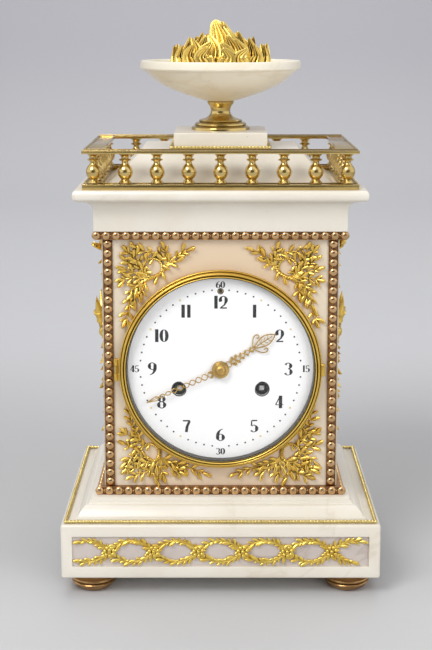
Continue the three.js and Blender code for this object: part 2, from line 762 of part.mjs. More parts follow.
// A corner spray: a wreath with two leafy stems, and a crown of leaves that grow into the corner
function cornerSpray(xSign, zSign, reach, wreath, stems) {
  const ring = cornerPlace(wreath, reach);
  const shapes = [reliefRing(xSign * ring.x, zSign * ring.y, WREATH_RADIUS, WREATH_WIDTH, 8)];
  for (const places of stems) {
    const points = places.map((place) => cornerPlace(place, reach));
    const pairs = points.map(({ x, y }) => [xSign * x, zSign * y]);
    shapes.push(...leafyStem(pairs, 2, SPRAY_LEAF_LENGTH, SPRAY_LEAF_WIDTH));
  }
  for (let i = -2; i <= 2; i += 1) {
    const angle = Math.PI / 4 + 0.62 * i;
    const across = (frameSide - ring.x) / Math.max(Math.cos(angle), WELD);
    const upright = (reach - ring.y) / Math.max(Math.sin(angle), WELD);
    const length = CROWN_LEAF_SHARE * (Math.min(across, upright) - WREATH_RADIUS);
    const root = polar(WREATH_RADIUS, angle).add(ring);
    const direction = Math.atan2(zSign * Math.sin(angle), xSign * Math.cos(angle));
    shapes.push(leaf(xSign * root.x, zSign * root.y, direction, length, CROWN_LEAF_WIDTH));
  }
  return join(...shapes);
}

const upperWreath = [52.5, 0.425];
const upperStems = [
  [[53.6, 0.278], [62.1, 0.49], [73.3, 0.65], [82.7, 0.7]],
  [[53.6, 0.278], [45.9, 0.424], [35.1, 0.62], [25.2, 0.625]],
];
const lowerWreath = [50.8, 0.246];
const lowerStems = [
  [[55.9, 0.26], [64.3, 0.34], [73.7, 0.445], [81.1, 0.436]],
  [[45.9, 0.247], [35.6, 0.336], [27.5, 0.397], [21.7, 0.448]],
];
for (const [hand, xSign] of [["left", -1], ["right", 1]]) {
  const upperSpray = cornerSpray(xSign, 1, frameRise, upperWreath, upperStems);
  const lowerSpray = cornerSpray(xSign, -1, frameDrop, lowerWreath, lowerStems);
  piece(clock, `spray_upper_${hand}`, upperSpray, gilt).position.set(0, bodyFront, dialHeight);
  piece(clock, `spray_lower_${hand}`, lowerSpray, gilt).position.set(0, bodyFront, dialHeight);
}

// Frieze: two leafy branches that cross at rosettes, with as many ovals as the panel has room for
function guilloche() {
  const reach = friezeHalf - GUILLOCHE_END_GAP;
  const ovals = Math.round(2 * friezeHalf / GUILLOCHE_PITCH);
  const pitch = 2 * friezeHalf / (ovals - 1 / 3);
  const steps = 3 * ovals;
  const wave = (x) => GUILLOCHE_RISE * Math.sin(Math.PI * (x / pitch + ovals / 2));
  const shapes = [];
  for (const side of [1, -1]) {
    const branch = curveThrough(evenly(2 * steps + 1, reach).map((x) => [x, side * wave(x)]));
    shapes.push(stem(branch, steps, 2.2));
    for (let oval = 0; oval < ovals; oval += 1) {
      const x = pitch * (oval - (ovals - 1) / 2);
      shapes.push(leaf(x - 3, side * GUILLOCHE_RISE, -0.7 * side, 10, 4));
    }
  }
  for (let crossing = 1; crossing < ovals; crossing += 1) {
    const rosette = turnedY([[0, -RELIEF - SINK], [3.6, 0], [0, 0]], 4);
    shapes.push(rosette.translate(pitch * (crossing - ovals / 2), 0, 0));
  }
  return join(...shapes);
}

piece(clock, "frieze_mount", guilloche(), gilt).position.set(0, friezeFloor, friezeMiddle);

// Side mount: two torches crossed under a ribbon bow, with a leafy drop below
function sideTrophy() {
  const up = (share) => share * frameRise;
  const down = (share) => -share * frameDrop;
  const drop = [
    [0, up(0.89)],
    [MOUNT_SWAY, up(0.61)],
    [-MOUNT_SWAY / 2, up(0.3)],
    [0, down(0.13)],
    [0, down(0.65)],
  ];
  const shapes = [stem(curveThrough(drop), 5, MOUNT_STEM_WIDTH, MOUNT_STEM_RELIEF)];
  for (const side of [1, -1]) {
    const foot = [-TORCH_SPREAD * side, down(0.065)];
    const head = [TORCH_SPREAD * side, up(0.344)];
    const lean = Math.atan2(head[1] - foot[1], head[0] - foot[0]);
    shapes.push(stem(curveThrough([foot, head]), 1, TORCH_WIDTH, TROPHY_RELIEF));
    shapes.push(leaf(...head, lean, TORCH_FLAME_LENGTH, TORCH_FLAME_WIDTH, TROPHY_RELIEF));
    const bowAngle = Math.PI / 2 - side * 1.2;
    shapes.push(leaf(0, up(0.85), bowAngle, MOUNT_LEAF_LENGTH, MOUNT_LEAF_WIDTH, MOUNT_RELIEF));
  }
  const leaves = [
    [up(0.71), -0.9],
    [up(0.67), -2.2],
    [down(0.28), -0.9],
    [down(0.35), -2.2],
    [down(0.6), -1.57],
  ];
  for (const [z, angle] of leaves) {
    shapes.push(leaf(0, z, angle, MOUNT_LEAF_LENGTH, MOUNT_LEAF_WIDTH, MOUNT_RELIEF));
  }
  return join(...shapes);
}

for (const [hand, xSign] of [["left", -1], ["right", 1]]) {
  const mesh = piece(clock, `side_mount_${hand}`, sideTrophy(), gilt);
  mesh.rotation.z = xSign * Math.PI / 2;
  mesh.position.set(xSign * bodySide, 0, dialHeight);
}

// Dial ring: a brass web on the front of the body that carries the dial, the bezel hinge and the movement
const movement = new THREE.Group();
movement.position.z = dialHeight;
clock.add(movement);

const ringFront = bodyFront - DIAL_RING_WEB;
const rimFront = bodyFront - DIAL_RING_RIM;
const bezelBack = rimFront - CLEARANCE;
const bezelFront = bezelBack - BEZEL_DEPTH;
const windingPlaces = [[-WINDING_SPREAD, -WINDING_DROP], [WINDING_SPREAD, -WINDING_DROP]];

function rodAt(x, z, radius, front, back, sides = SMALL_ROUND) {
  return rodY(radius, front, back, sides).translate(x, 0, z);
}

// A hinge knuckle about Z, with a bore for its pin
function knuckle(x, y, bottom, top, bore) {
  const pairs = [[bore, bottom], [HINGE_RADIUS, bottom], [HINGE_RADIUS, top], [bore, top], [bore, bottom]];
  return turnedZ(toPoints(pairs), SMALL_ROUND).translate(x, y, 0);
}

function hingePin(x, y) {
  const half = 1.5 * KNUCKLE_LENGTH;
  const pairs = [[0, -half], [HINGE_PIN_RADIUS, -half], [HINGE_PIN_RADIUS, half], [0, half]];
  return turnedZ(toPoints(pairs), SMALL_ROUND).translate(x, y, 0);
}

const pinBore = HINGE_PIN_RADIUS + CLEARANCE;
const halfKnuckle = KNUCKLE_LENGTH / 2;
const hingeX = -(BEZEL_RADIUS + HINGE_OFFSET);
const hingeY = bezelBack - 1;

function dialRing() {
  const profile = [
    [DIAL_RING_BORE, ringFront],
    [DIAL_RADIUS + CLEARANCE, ringFront],
    [DIAL_RADIUS + CLEARANCE, rimFront],
    [DIAL_RING_RADIUS, rimFront],
    [DIAL_RING_RADIUS, bodyFront],
    [DIAL_RING_BORE, bodyFront],
    [DIAL_RING_BORE, ringFront],
  ];
  const hole = (x, z, radius) => rodAt(x, z, radius, ringFront - 1, bodyFront + 1);
  const holes = windingPlaces.map(([x, z]) => hole(x, z, WINDING_HOLE_RADIUS + 1));
  holes.push(hole(0, REGULATOR_RISE, REGULATOR_RADIUS + CLEARANCE));
  const lug = box(
    [hingeX - HINGE_RADIUS / 2, hingeY + HINGE_PIN_RADIUS, -halfKnuckle],
    [-DIAL_RING_RADIUS + 1.5, bodyFront - 1, halfKnuckle],
  );
  const fixedKnuckle = knuckle(hingeX, hingeY, -halfKnuckle, halfKnuckle, 0);
  const web = cut(turnedY(profile, ROUND), ...holes);
  return join(web, cut(lug, bezelSweep()), fixedKnuckle, hingePin(hingeX, hingeY));
}

// The room that the bezel needs where the hinge lug passes behind it
function bezelSweep() {
  return rodY(BEZEL_RADIUS + CLEARANCE, bezelFront, bezelBack + CLEARANCE, ROUND);
}

piece(movement, "dial_ring", dialRing(), brass);

// Dial: a domed enamel disc with holes for the hands, the winding squares and the regulator
const dialCrown = ringFront - DIAL_EDGE - DIAL_DOME;

function dialFace() {
  const rings = 2;
  const profile = [];
  for (let i = 0; i <= rings; i += 1) {
    const share = i / rings;
    profile.push([share * DIAL_RADIUS, dialCrown + DIAL_DOME * share * share]);
  }
  profile.push([DIAL_RADIUS, ringFront], [0, ringFront]);
  const front = dialCrown - 1;
  const back = ringFront + 1;
  const holes = windingPlaces.map(([x, z]) => rodAt(x, z, WINDING_HOLE_RADIUS, front, back, PIPE_FACETS));
  holes.push(rodAt(0, 0, HOUR_PIPE_RADIUS + 3 * CLEARANCE, front, back, PIPE_FACETS));
  holes.push(rodAt(0, REGULATOR_RISE, REGULATOR_HOLE_RADIUS, front, back));
  return cut(turnedY(profile, ROUND), ...holes);
}

piece(movement, "dial", dialFace(), enamel);

// Bezel: a ribbed ring hinged on the left, rebated at the back for the glass
const glassSeat = bezelFront + GLASS_SEAT;
const rebateRadius = BEZEL_LIP_RADIUS + GLASS_SEAT;

function bezelRing() {
  const wall = BEZEL_RADIUS - BEZEL_LIP_RADIUS;
  const profile = [
    [BEZEL_LIP_RADIUS, bezelFront + 1],
    [BEZEL_LIP_RADIUS + 0.22 * wall, bezelFront],
    [BEZEL_LIP_RADIUS + 0.6 * wall, bezelFront + 1.4],
    [BEZEL_RADIUS, bezelFront + 3],
    [BEZEL_RADIUS, bezelBack],
    [rebateRadius, bezelBack],
    [rebateRadius, glassSeat],
    [BEZEL_LIP_RADIUS, glassSeat],
    [BEZEL_LIP_RADIUS, bezelFront + 1],
  ];
  const shapes = [turnedY(profile, ROUND)];
  for (const zSign of [1, -1]) {
    const near = zSign * (halfKnuckle + CLEARANCE);
    const far = zSign * 1.4 * KNUCKLE_LENGTH;
    const bottom = Math.min(near, far);
    const top = Math.max(near, far);
    shapes.push(knuckle(hingeX, hingeY, bottom, top, pinBore));
    const leafStart = hingeX + pinBore + CLEARANCE;
    const low = [leafStart, hingeY - HINGE_RADIUS / 2, bottom];
    const high = [-rebateRadius - 2, hingeY + HINGE_RADIUS / 2, top];
    shapes.push(box(low, high));
  }
  const latch = box(
    [BEZEL_RADIUS - 1.5, bezelFront + 3, -0.8 * KNUCKLE_LENGTH],
    [BEZEL_RADIUS + HINGE_OFFSET, bezelBack, 0.8 * KNUCKLE_LENGTH],
  );
  return join(...shapes, latch);
}

const bezelDoor = new THREE.Group();
movement.add(bezelDoor);
piece(bezelDoor, "bezel", bezelRing(), gilt);

// Glass: a shallow dome with a flat rim that lies in the rebate of the bezel
function domedGlass() {
  const rimOuter = rebateRadius - CLEARANCE;
  const domeRadius = BEZEL_LIP_RADIUS - 2 * CLEARANCE;
  const rimBack = glassSeat + GLASS_THICKNESS;
  const crown = glassSeat - GLASS_DOME;
  const rings = 2;
  const front = [];
  const back = [];
  for (let i = 0; i <= rings; i += 1) {
    const share = i / rings;
    front.push([share * domeRadius, crown + GLASS_DOME * share * share]);
    const depth = crown + GLASS_THICKNESS + GLASS_DOME * share * share;
    back.unshift([share * (domeRadius - GLASS_THICKNESS), depth]);
  }
  return turnedY([...front, [rimOuter, glassSeat], [rimOuter, rimBack], ...back], ROUND);
}

piece(bezelDoor, "bezel_glass", domedGlass(), glass);

// Back ring with the two straps that draw it and the dial ring together through the body
const backRingBack = bodyBack + BACK_RING_THICKNESS;
const doorFront = backRingBack + CLEARANCE;
const doorHingeX = BACK_RING_RADIUS + HINGE_OFFSET;
const doorHingeY = doorFront + HINGE_RADIUS / 2;

function backRing() {
  const flange = ringY(BACK_RING_BORE, BACK_RING_RADIUS, bodyBack, backRingBack, HIDDEN_ROUND);
  const straps = [1, -1].map((xSign) => box(
    [xSign * STRAP_HALF_SPREAD - STRAP_THICKNESS / 2, bodyFront, -STRAP_WIDTH / 2],
    [xSign * STRAP_HALF_SPREAD + STRAP_THICKNESS / 2, bodyBack + SINK, STRAP_WIDTH / 2],
  ));
  const lug = box(
    [BACK_RING_RADIUS - 2, bodyBack, -halfKnuckle],
    [doorHingeX, doorHingeY - HINGE_PIN_RADIUS, halfKnuckle],
  );
  const roomForDoor = rodY(BACK_DOOR_RADIUS + CLEARANCE, backRingBack, doorHingeY + 1, HIDDEN_ROUND);
  const fixedKnuckle = knuckle(doorHingeX, doorHingeY, -halfKnuckle, halfKnuckle, 0);
  return join(flange, ...straps, cut(lug, roomForDoor), fixedKnuckle, hingePin(doorHingeX, doorHingeY));
}

piece(movement, "back_ring", backRing(), brass);

function backDoor() {
  const doorBack = doorFront + BACK_DOOR_THICKNESS;
  const profile = [
    [0, doorFront],
    [BACK_DOOR_RADIUS, doorFront],
    [BACK_DOOR_RADIUS, doorBack - 0.6],
    [BACK_DOOR_RADIUS - 2, doorBack],
    [0, doorBack],
  ];
  const shapes = [turnedY(profile, HIDDEN_ROUND)];
  for (const zSign of [1, -1]) {
    const near = zSign * (halfKnuckle + CLEARANCE);
    const far = zSign * 1.4 * KNUCKLE_LENGTH;
    const bottom = Math.min(near, far);
    const top = Math.max(near, far);
    shapes.push(knuckle(doorHingeX, doorHingeY, bottom, top, pinBore));
    const leafEnd = doorHingeX - pinBore - CLEARANCE;
    const low = [BACK_DOOR_RADIUS - 2, doorFront, bottom];
    const high = [leafEnd, doorFront + BACK_DOOR_THICKNESS, top];
    shapes.push(box(low, high));
  }
  const knob = turnedY([
    [0, doorBack - SINK],
    [1.6, doorBack - SINK],
    [1.6, doorBack + 2],
    [3, doorBack + 4],
    [0, doorBack + 5],
  ], 8);
  shapes.push(knob.translate(-0.86 * BACK_DOOR_RADIUS, 0, 0));
  return join(...shapes);
}

piece(movement, "back_door", backDoor(), brass);

// Places of the arbors. Two wheels mesh where their arbors' distance is shared by their teeth.
const frontPlateFront = bodyFront + PLATE_DEPTH;
const frontPlateBack = frontPlateFront + PLATE_THICKNESS;
const backPlateFront = frontPlateBack + PLATE_GAP;
const backPlateBack = backPlateFront + PLATE_THICKNESS;

// The point at given distances from two points, to the left of the line between them for a side of 1.
function meetingPoint(from, to, fromReach, toReach, side) {
  const line = to.clone().sub(from);
  const span = line.length();
  const along = (fromReach * fromReach - toReach * toReach + span * span) / (2 * span);
  const aside = side * Math.sqrt(fromReach * fromReach - along * along);
  line.normalize();
  return new THREE.Vector2(
    from.x + along * line.x - aside * line.y,
    from.y + along * line.y + aside * line.x,
  );
}

const centre = new THREE.Vector2(0, 0);
const goingBarrel = new THREE.Vector2(WINDING_SPREAD, -WINDING_DROP);
const strikeBarrel = new THREE.Vector2(-WINDING_SPREAD, -WINDING_DROP);
const escape = new THREE.Vector2(0, ESCAPE_RISE);
const pallet = new THREE.Vector2(0, PALLET_RISE);
const barrelSpan = goingBarrel.length();
const second = meetingPoint(centre, goingBarrel, 0.482 * barrelSpan, 0.552 * barrelSpan, 1);
const third = meetingPoint(centre, escape, 0.59 * ESCAPE_RISE, 0.464 * ESCAPE_RISE, 1);
const minuteStud = new THREE.Vector2(0, -MOTION_DISTANCE);
const countArbor = polar(0.552 * barrelSpan, 75 * Math.PI / 180).add(strikeBarrel);
const hammer = new THREE.Vector2(HAMMER_X, HAMMER_RISE);

// Pitch radii of a wheel and pinion that share the distance between two arbors, with room to run.
function pitchRadii(from, to, wheelTeeth, pinionLeaves) {
  const shared = from.distanceTo(to) - CLEARANCE;
  const whole = wheelTeeth + pinionLeaves;
  return { wheel: shared * wheelTeeth / whole, pinion: shared * pinionLeaves / whole };
}

// The phase that puts a gap of the second wheel opposite a tooth of the first.
function meshPhase(from, to, fromTeeth, fromPhase, toTeeth) {
  const line = to.clone().sub(from).angle();
  const toothShift = (fromPhase - line) * fromTeeth / (2 * Math.PI);
  return line + Math.PI - (toothShift + 0.5) * 2 * Math.PI / toTeeth;
}

// Pointed teeth: a tip and a root to each tooth
function toothedOutline(teeth, pitchRadius, phase) {
  const toothModule = 2 * pitchRadius / teeth;
  const tip = pitchRadius + 0.85 * toothModule;
  const root = pitchRadius - 1.2 * toothModule;
  const step = 2 * Math.PI / teeth;
  const points = [];
  for (let tooth = 0; tooth < teeth; tooth += 1) {
    const middle = phase + tooth * step;
    points.push(polar(tip, middle), polar(root, middle + step / 2));
  }
  return points;
}

// Four windows between a wheel's hub and its rim
function windows(hub, rim) {
  return [0, 1, 2, 3].map((quarter) => {
    const start = quarter * Math.PI / 2;
    const end = start + Math.PI / 2;
    return [polar(hub, (start + end) / 2), polar(rim, start + 0.25), polar(rim, end - 0.25)];
  });
}

function wheel(teeth, pitchRadius, phase, front, crossed = true) {
  const rim = pitchRadius * (1 - 2.4 / teeth) - 1.8;
  const holes = crossed ? windows(HUB, rim) : [];
  return plate(withHoles(toothedOutline(teeth, pitchRadius, phase), holes), front, front + WHEEL_THICKNESS);
}

function pinion(leaves, pitchRadius, phase, front, length = PINION_LENGTH) {
  return plate(new THREE.Shape(toothedOutline(leaves, pitchRadius, phase)), front, front + length);
}

// An arbor between the plates, turned down to a pivot at each end
function arbor() {
  return turnedY([
    [0, frontPlateFront],
    [PIVOT_RADIUS, frontPlateFront],
    [PIVOT_RADIUS, frontPlateBack + CLEARANCE],
    [ARBOR_RADIUS, frontPlateBack + CLEARANCE],
    [ARBOR_RADIUS, backPlateFront - CLEARANCE],
    [PIVOT_RADIUS, backPlateFront - CLEARANCE],
    [PIVOT_RADIUS, backPlateBack],
    [0, backPlateBack],
  ], SMALL_ROUND);
}

function placed(mesh, point) {
  mesh.position.set(point.x, 0, point.y);
  return mesh;
}

// Plates: the front one carries the posts of the dial and the stud of the minute wheel, the back one the
// pillars and the bell stand
const pivotHole = PIVOT_RADIUS + CLEARANCE;
const windingHole = WINDING_ARBOR_RADIUS + 2 * CLEARANCE;
const centreHole = ARBOR_RADIUS + 2 * CLEARANCE;
const pillarAngles = [60, 120, 250, 290].map((degrees) => degrees * Math.PI / 180);
const pillarPlaces = pillarAngles.map((angle) => polar(PILLAR_CIRCLE, angle));

function plateWithHoles(front, back, palletHole, hammerHole, countHole) {
  const drilled = [
    [centre, centreHole],
    [goingBarrel, windingHole],
    [strikeBarrel, windingHole],
    [second, pivotHole],
    [third, pivotHole],
    [escape, pivotHole],
    [countArbor, countHole],
    [hammer, hammerHole],
    [pallet, palletHole],
  ];
  const holes = drilled.map(([point, radius]) => circlePoints(point.x, point.y, radius, SMALL_ROUND));
  return plate(withHoles(circlePoints(0, 0, PLATE_RADIUS, HIDDEN_ROUND), holes), front, back);
}

function frontPlate() {
  const body = plateWithHoles(frontPlateFront, frontPlateBack, pivotHole, pivotHole, pivotHole);
  const posts = pillarPlaces.map((place) => (
    rodAt(place.x, place.y, POST_RADIUS, bodyFront, frontPlateFront + SINK)
  ));
  const stud = rodAt(minuteStud.x, minuteStud.y, ARBOR_RADIUS, hourWheelFront - 1, frontPlateFront + SINK);
  return join(body, ...posts, stud);
}

const bellMouth = backPlateBack + BELL_GAP;
const bellSeat = bellMouth + BELL_LENGTH - BELL_WALL;
const bellPost = polar(0.75 * BELL_RADIUS, -64 * Math.PI / 180);

function backPlate() {
  const passing = ARBOR_RADIUS + CLEARANCE;
  const body = plateWithHoles(backPlateFront, backPlateBack, passing, passing, passing);
  const pillars = pillarPlaces.map((place) => (
    rodAt(place.x, place.y, PILLAR_RADIUS, frontPlateBack, backPlateFront + SINK)
  ));
  const standFront = bellMouth + 0.3 * BELL_LENGTH;
  const standBack = standFront + 3;
  const post = rodAt(bellPost.x, bellPost.y, POST_RADIUS, backPlateBack - SINK, standBack);
  const armLength = bellPost.length();
  const arm = box([0, standFront, -POST_RADIUS], [armLength, standBack, POST_RADIUS]);
  arm.rotateY(-bellPost.angle());
  const seat = rodY(2 * POST_RADIUS, standFront, bellSeat);
  const stud = rodY(POST_RADIUS, standFront, bellSeat + 2 * BELL_WALL);
  return join(body, ...pillars, post, arm, seat, stud);
}

// Motion work: the cannon pinion turns the minute wheel, whose pinion turns the hour wheel
const minuteWheelFront = frontPlateFront - 3;
const hourWheelFront = frontPlateFront - 7;
const motionPinionLeaves = PINION_LEAVES;
const firstMotion = pitchRadii(centre, minuteStud, MINUTE_WHEEL_TEETH, PINION_LEAVES);
const secondMotion = pitchRadii(centre, minuteStud, WHEEL_TEETH, motionPinionLeaves);
piece(movement, "front_plate", frontPlate(), brass);
piece(movement, "back_plate", backPlate(), brass);

// Bell: open towards the plates, seated on its stand
function bell() {
  const crown = bellMouth + BELL_LENGTH;
  const inner = BELL_RADIUS - BELL_WALL;
  const bore = POST_RADIUS + CLEARANCE;
  const profile = [
    [BELL_RADIUS, bellMouth],
    [0.9 * BELL_RADIUS, bellMouth + 0.5 * BELL_LENGTH],
    [0.5 * BELL_RADIUS, crown],
    [bore, crown],
    [bore, bellSeat],
    [0.5 * inner, bellSeat],
    [0.9 * inner, bellMouth + 0.5 * BELL_LENGTH],
    [inner, bellMouth],
    [BELL_RADIUS, bellMouth],
  ];
  return turnedY(profile, 16);
}

piece(movement, "bell", bell(), bellMetal);

// Going train: barrel, second wheel, centre wheel, third wheel and escape wheel
const greatPitch = pitchRadii(goingBarrel, second, WHEEL_TEETH, PINION_LEAVES);
const secondPitch = pitchRadii(second, centre, WHEEL_TEETH, PINION_LEAVES);
const centrePitch = pitchRadii(centre, third, WHEEL_TEETH, PINION_LEAVES);
const thirdPitch = pitchRadii(third, escape, WHEEL_TEETH, PINION_LEAVES);
const barrelFront = frontPlateBack + 3;
const greatFront = barrelFront + BARREL_LENGTH;
const secondFront = greatFront + PINION_LENGTH + 1.5;
const centreFront = frontPlateBack + 7;
const thirdFront = centreFront + PINION_LENGTH + 2;
const escapeFront = thirdFront + PINION_LENGTH + 4;
const secondPhase = meshPhase(goingBarrel, second, WHEEL_TEETH, 0, PINION_LEAVES);
const centrePhase = meshPhase(second, centre, WHEEL_TEETH, 0, PINION_LEAVES);
const thirdPhase = meshPhase(centre, third, WHEEL_TEETH, 0, PINION_LEAVES);
const escapePhase = meshPhase(third, escape, WHEEL_TEETH, 0, PINION_LEAVES);
const cannonPhase = 0;
const minutePhase = meshPhase(centre, minuteStud, PINION_LEAVES, cannonPhase, MINUTE_WHEEL_TEETH);
const hourPhase = meshPhase(minuteStud, centre, motionPinionLeaves, 0, WHEEL_TEETH);

function barrelDrum() {
  const bore = windingHole;
  const drum = ringY(bore, BARREL_RADIUS, barrelFront, greatFront + SINK, 12);
  const great = wheel(WHEEL_TEETH, greatPitch.wheel, 0, greatFront, false);
  return join(drum, cut(great, rodY(bore, greatFront - 1, greatFront + WHEEL_THICKNESS + 1)));
}

// The pinion overlaps its wheel by half of the spare length on each side
function pinionFront(wheelFront) {
  return wheelFront - (PINION_LENGTH - WHEEL_THICKNESS) / 2;
}

// Winding arbor: a square for the key, a ratchet in front of the plate and a body through the barrel
const squareFront = ringFront;
function windingArbor() {
  const body = rodY(WINDING_ARBOR_RADIUS, frontPlateFront - 2 * RATCHET_GAP, backPlateBack);
  const half = WINDING_SQUARE / 2;
  const square = box([-half, squareFront, -half], [half, frontPlateFront - 1.5 * RATCHET_GAP, half]);
  const step = 2 * Math.PI / RATCHET_TEETH;
  const teeth = [];
  for (let tooth = 0; tooth < RATCHET_TEETH; tooth += 1) {
    teeth.push(polar(RATCHET_RADIUS, tooth * step), polar(0.8 * RATCHET_RADIUS, (tooth + 0.1) * step));
  }
  const ratchetFront = frontPlateFront - RATCHET_GAP;
  const ratchet = plate(new THREE.Shape(teeth), ratchetFront, ratchetFront + WHEEL_THICKNESS);
  return join(body, square, ratchet);
}

for (const [name, place] of [["going", goingBarrel], ["strike", strikeBarrel]]) {
  placed(piece(movement, `${name}_barrel`, barrelDrum(), brass), place);
  placed(piece(movement, `${name}_arbor`, windingArbor(), steel), place);
}

function trainWheel(wheelFront, pitch, drivenFront, drivenPitch, drivenPhase) {
  return join(
    arbor(),
    wheel(WHEEL_TEETH, pitch, 0, wheelFront),
    pinion(PINION_LEAVES, drivenPitch, drivenPhase, pinionFront(drivenFront)),
  );
}

const secondWheel = trainWheel(secondFront, secondPitch.wheel, greatFront, greatPitch.pinion, secondPhase);
placed(piece(movement, "second_wheel", secondWheel, brass), second);
const thirdWheel = trainWheel(thirdFront, thirdPitch.wheel, centreFront, centrePitch.pinion, thirdPhase);
placed(piece(movement, "third_wheel", thirdWheel, brass), third);

// Hands and the arbors that carry them, from the dial forwards
const hourHandBack = dialCrown - HOUR_HAND_GAP;
const hourHandFront = hourHandBack - HAND_THICKNESS;
const minuteHandBack = hourHandFront - MINUTE_HAND_GAP;
const minuteHandFront = minuteHandBack - HAND_THICKNESS;
const hourBoss = HOUR_PIPE_RADIUS - CLEARANCE;

function centreArbor() {
  const spindle = turnedY([
    [0, minuteHandFront],
    [PIVOT_RADIUS, minuteHandFront],
    [PIVOT_RADIUS, minuteHandBack],
    [CANNON_RADIUS, minuteHandBack],
    [CANNON_RADIUS, frontPlateFront - CLEARANCE],
    [ARBOR_RADIUS, frontPlateFront - CLEARANCE],
    [ARBOR_RADIUS, backPlateBack],
    [0, backPlateBack],
  ], SMALL_ROUND);
  return join(
    spindle,
    pinion(PINION_LEAVES, firstMotion.pinion, cannonPhase, minuteWheelFront - 1, WHEEL_THICKNESS + 2),
    wheel(WHEEL_TEETH, centrePitch.wheel, 0, centreFront),
    pinion(PINION_LEAVES, secondPitch.pinion, centrePhase, pinionFront(secondFront)),
  );
}

piece(movement, "centre_arbor", centreArbor(), steel);

function hourWheel() {
  const bore = CANNON_RADIUS + CLEARANCE;
  const wheelBack = hourWheelFront + WHEEL_THICKNESS;
  const pipe = turnedY([
    [bore, hourHandFront],
    [hourBoss, hourHandFront],
    [hourBoss, hourHandBack],
    [HOUR_PIPE_RADIUS, hourHandBack],
    [HOUR_PIPE_RADIUS, wheelBack],
    [bore, wheelBack],
    [bore, hourHandFront],
  ], PIPE_FACETS);
  const teeth = wheel(WHEEL_TEETH, secondMotion.wheel, hourPhase, hourWheelFront, false);
  const room = rodY((bore + HOUR_PIPE_RADIUS) / 2, hourWheelFront - 1, wheelBack + 1, PIPE_FACETS);
  return join(cut(teeth, room), pipe);
}

piece(movement, "hour_wheel", hourWheel(), brass);

function minuteWheel() {
  const bore = ARBOR_RADIUS + CLEARANCE;
  const teeth = wheel(MINUTE_WHEEL_TEETH, firstMotion.wheel, minutePhase, minuteWheelFront, false);
  const leaves = pinion(
    motionPinionLeaves,
    secondMotion.pinion,
    0,
    hourWheelFront,
    minuteWheelFront - hourWheelFront + SINK,
  );
  return cut(join(teeth, leaves), rodY(bore, hourWheelFront - 2, frontPlateFront));
}

placed(piece(movement, "minute_wheel", minuteWheel(), brass), minuteStud);

// A chain of lozenges along a hand, as an outline and its windows
function lozengeChain(start, end, count, startWidth, endWidth) {
  const right = [];
  const holes = [];
  const step = (end - start) / count;
  for (let i = 0; i < count; i += 1) {
    const bottom = start + i * step;
    const width = startWidth + (endWidth - startWidth) * i / count;
    right.push([0.5, bottom], [width / 2, bottom + step / 2]);
    const inset = 0.2 * step;
    holes.push(toPoints([
      [0, bottom + inset],
      [width / 2 - 0.7, bottom + step / 2],
      [0, bottom + step - inset],
      [0.7 - width / 2, bottom + step / 2],
    ]));
  }
  return { right, holes };
}

// A hand that points to the 12, drawn by its right edge and mirrored
function handPlate(right, holes, front) {
  const left = right.map(([x, z]) => [-x, z]).reverse();
  const outline = [...right, ...left];
  const points = toPoints(outline.filter(([x], i) => i === 0 || x !== 0 || outline[i - 1][0] !== 0));
  return plate(withHoles(points, holes), front, front + HAND_THICKNESS);
}

function minuteHand() {
  const chainEnd = 0.86 * MINUTE_HAND_LENGTH;
  const { right, holes } = lozengeChain(HUB_RADIUS + 2, chainEnd, 6, 4.6, 2.8);
  const outline = [
    [1.2, 0],
    [1.2, HUB_RADIUS],
    ...right,
    [0.5, chainEnd],
    [1.6, chainEnd + 0.06 * MINUTE_HAND_LENGTH],
    [0, MINUTE_HAND_LENGTH],
  ];
  const hand = handPlate(outline, holes, minuteHandFront);
  const capFront = minuteHandFront - HUB_RISE;
  const cap = turnedY([
    [0, capFront],
    [0.5 * HUB_RADIUS, capFront + 0.3],
    [HUB_RADIUS, minuteHandFront],
    [HUB_RADIUS, minuteHandBack],
    [0, minuteHandBack],
  ], 10);
  const pivotRoom = rodY(PIVOT_RADIUS + CLEARANCE, minuteHandFront - CLEARANCE, minuteHandBack + 1);
  return cut(join(hand, cap), pivotRoom).rotate([0, MINUTE_HAND_ANGLE * 180 / Math.PI, 0]);
}

piece(movement, "minute_hand", minuteHand(), gilt);

function hourHand() {
  const chainEnd = 0.7 * HOUR_HAND_LENGTH;
  const headWidth = 0.1 * HOUR_HAND_LENGTH;
  const { right, holes } = lozengeChain(HUB_RADIUS + 1, chainEnd, 4, 4.4, 3.2);
  const head = chainEnd + 0.18 * HOUR_HAND_LENGTH;
  const tip = HOUR_HAND_LENGTH;
  const outline = [[1.4, 0], [1.4, HUB_RADIUS], ...right, [0.6, chainEnd], [headWidth / 2, head], [0, tip]];
  const eyeHalf = headWidth / 2 - 0.8;
  holes.push(toPoints([[0, chainEnd + 2], [eyeHalf, head], [0, tip - 4], [-eyeHalf, head]]));
  const hand = handPlate(outline, holes, hourHandFront);
  const scrolls = [1, -1].map((xSign) => (
    rodAt(xSign * 2.2, chainEnd + 1.2, 1.9, hourHandFront, hourHandBack)
  ));
  const boss = rodY(HUB_RADIUS - 1, hourHandFront, hourHandBack, 10);
  const bore = rodY(hourBoss + CLEARANCE, hourHandFront - 1, hourHandBack + 1, PIPE_FACETS);
  return cut(join(hand, boss, ...scrolls), bore).rotate([0, HOUR_HAND_ANGLE * 180 / Math.PI, 0]);
}

piece(movement, "hour_hand", hourHand(), gilt);

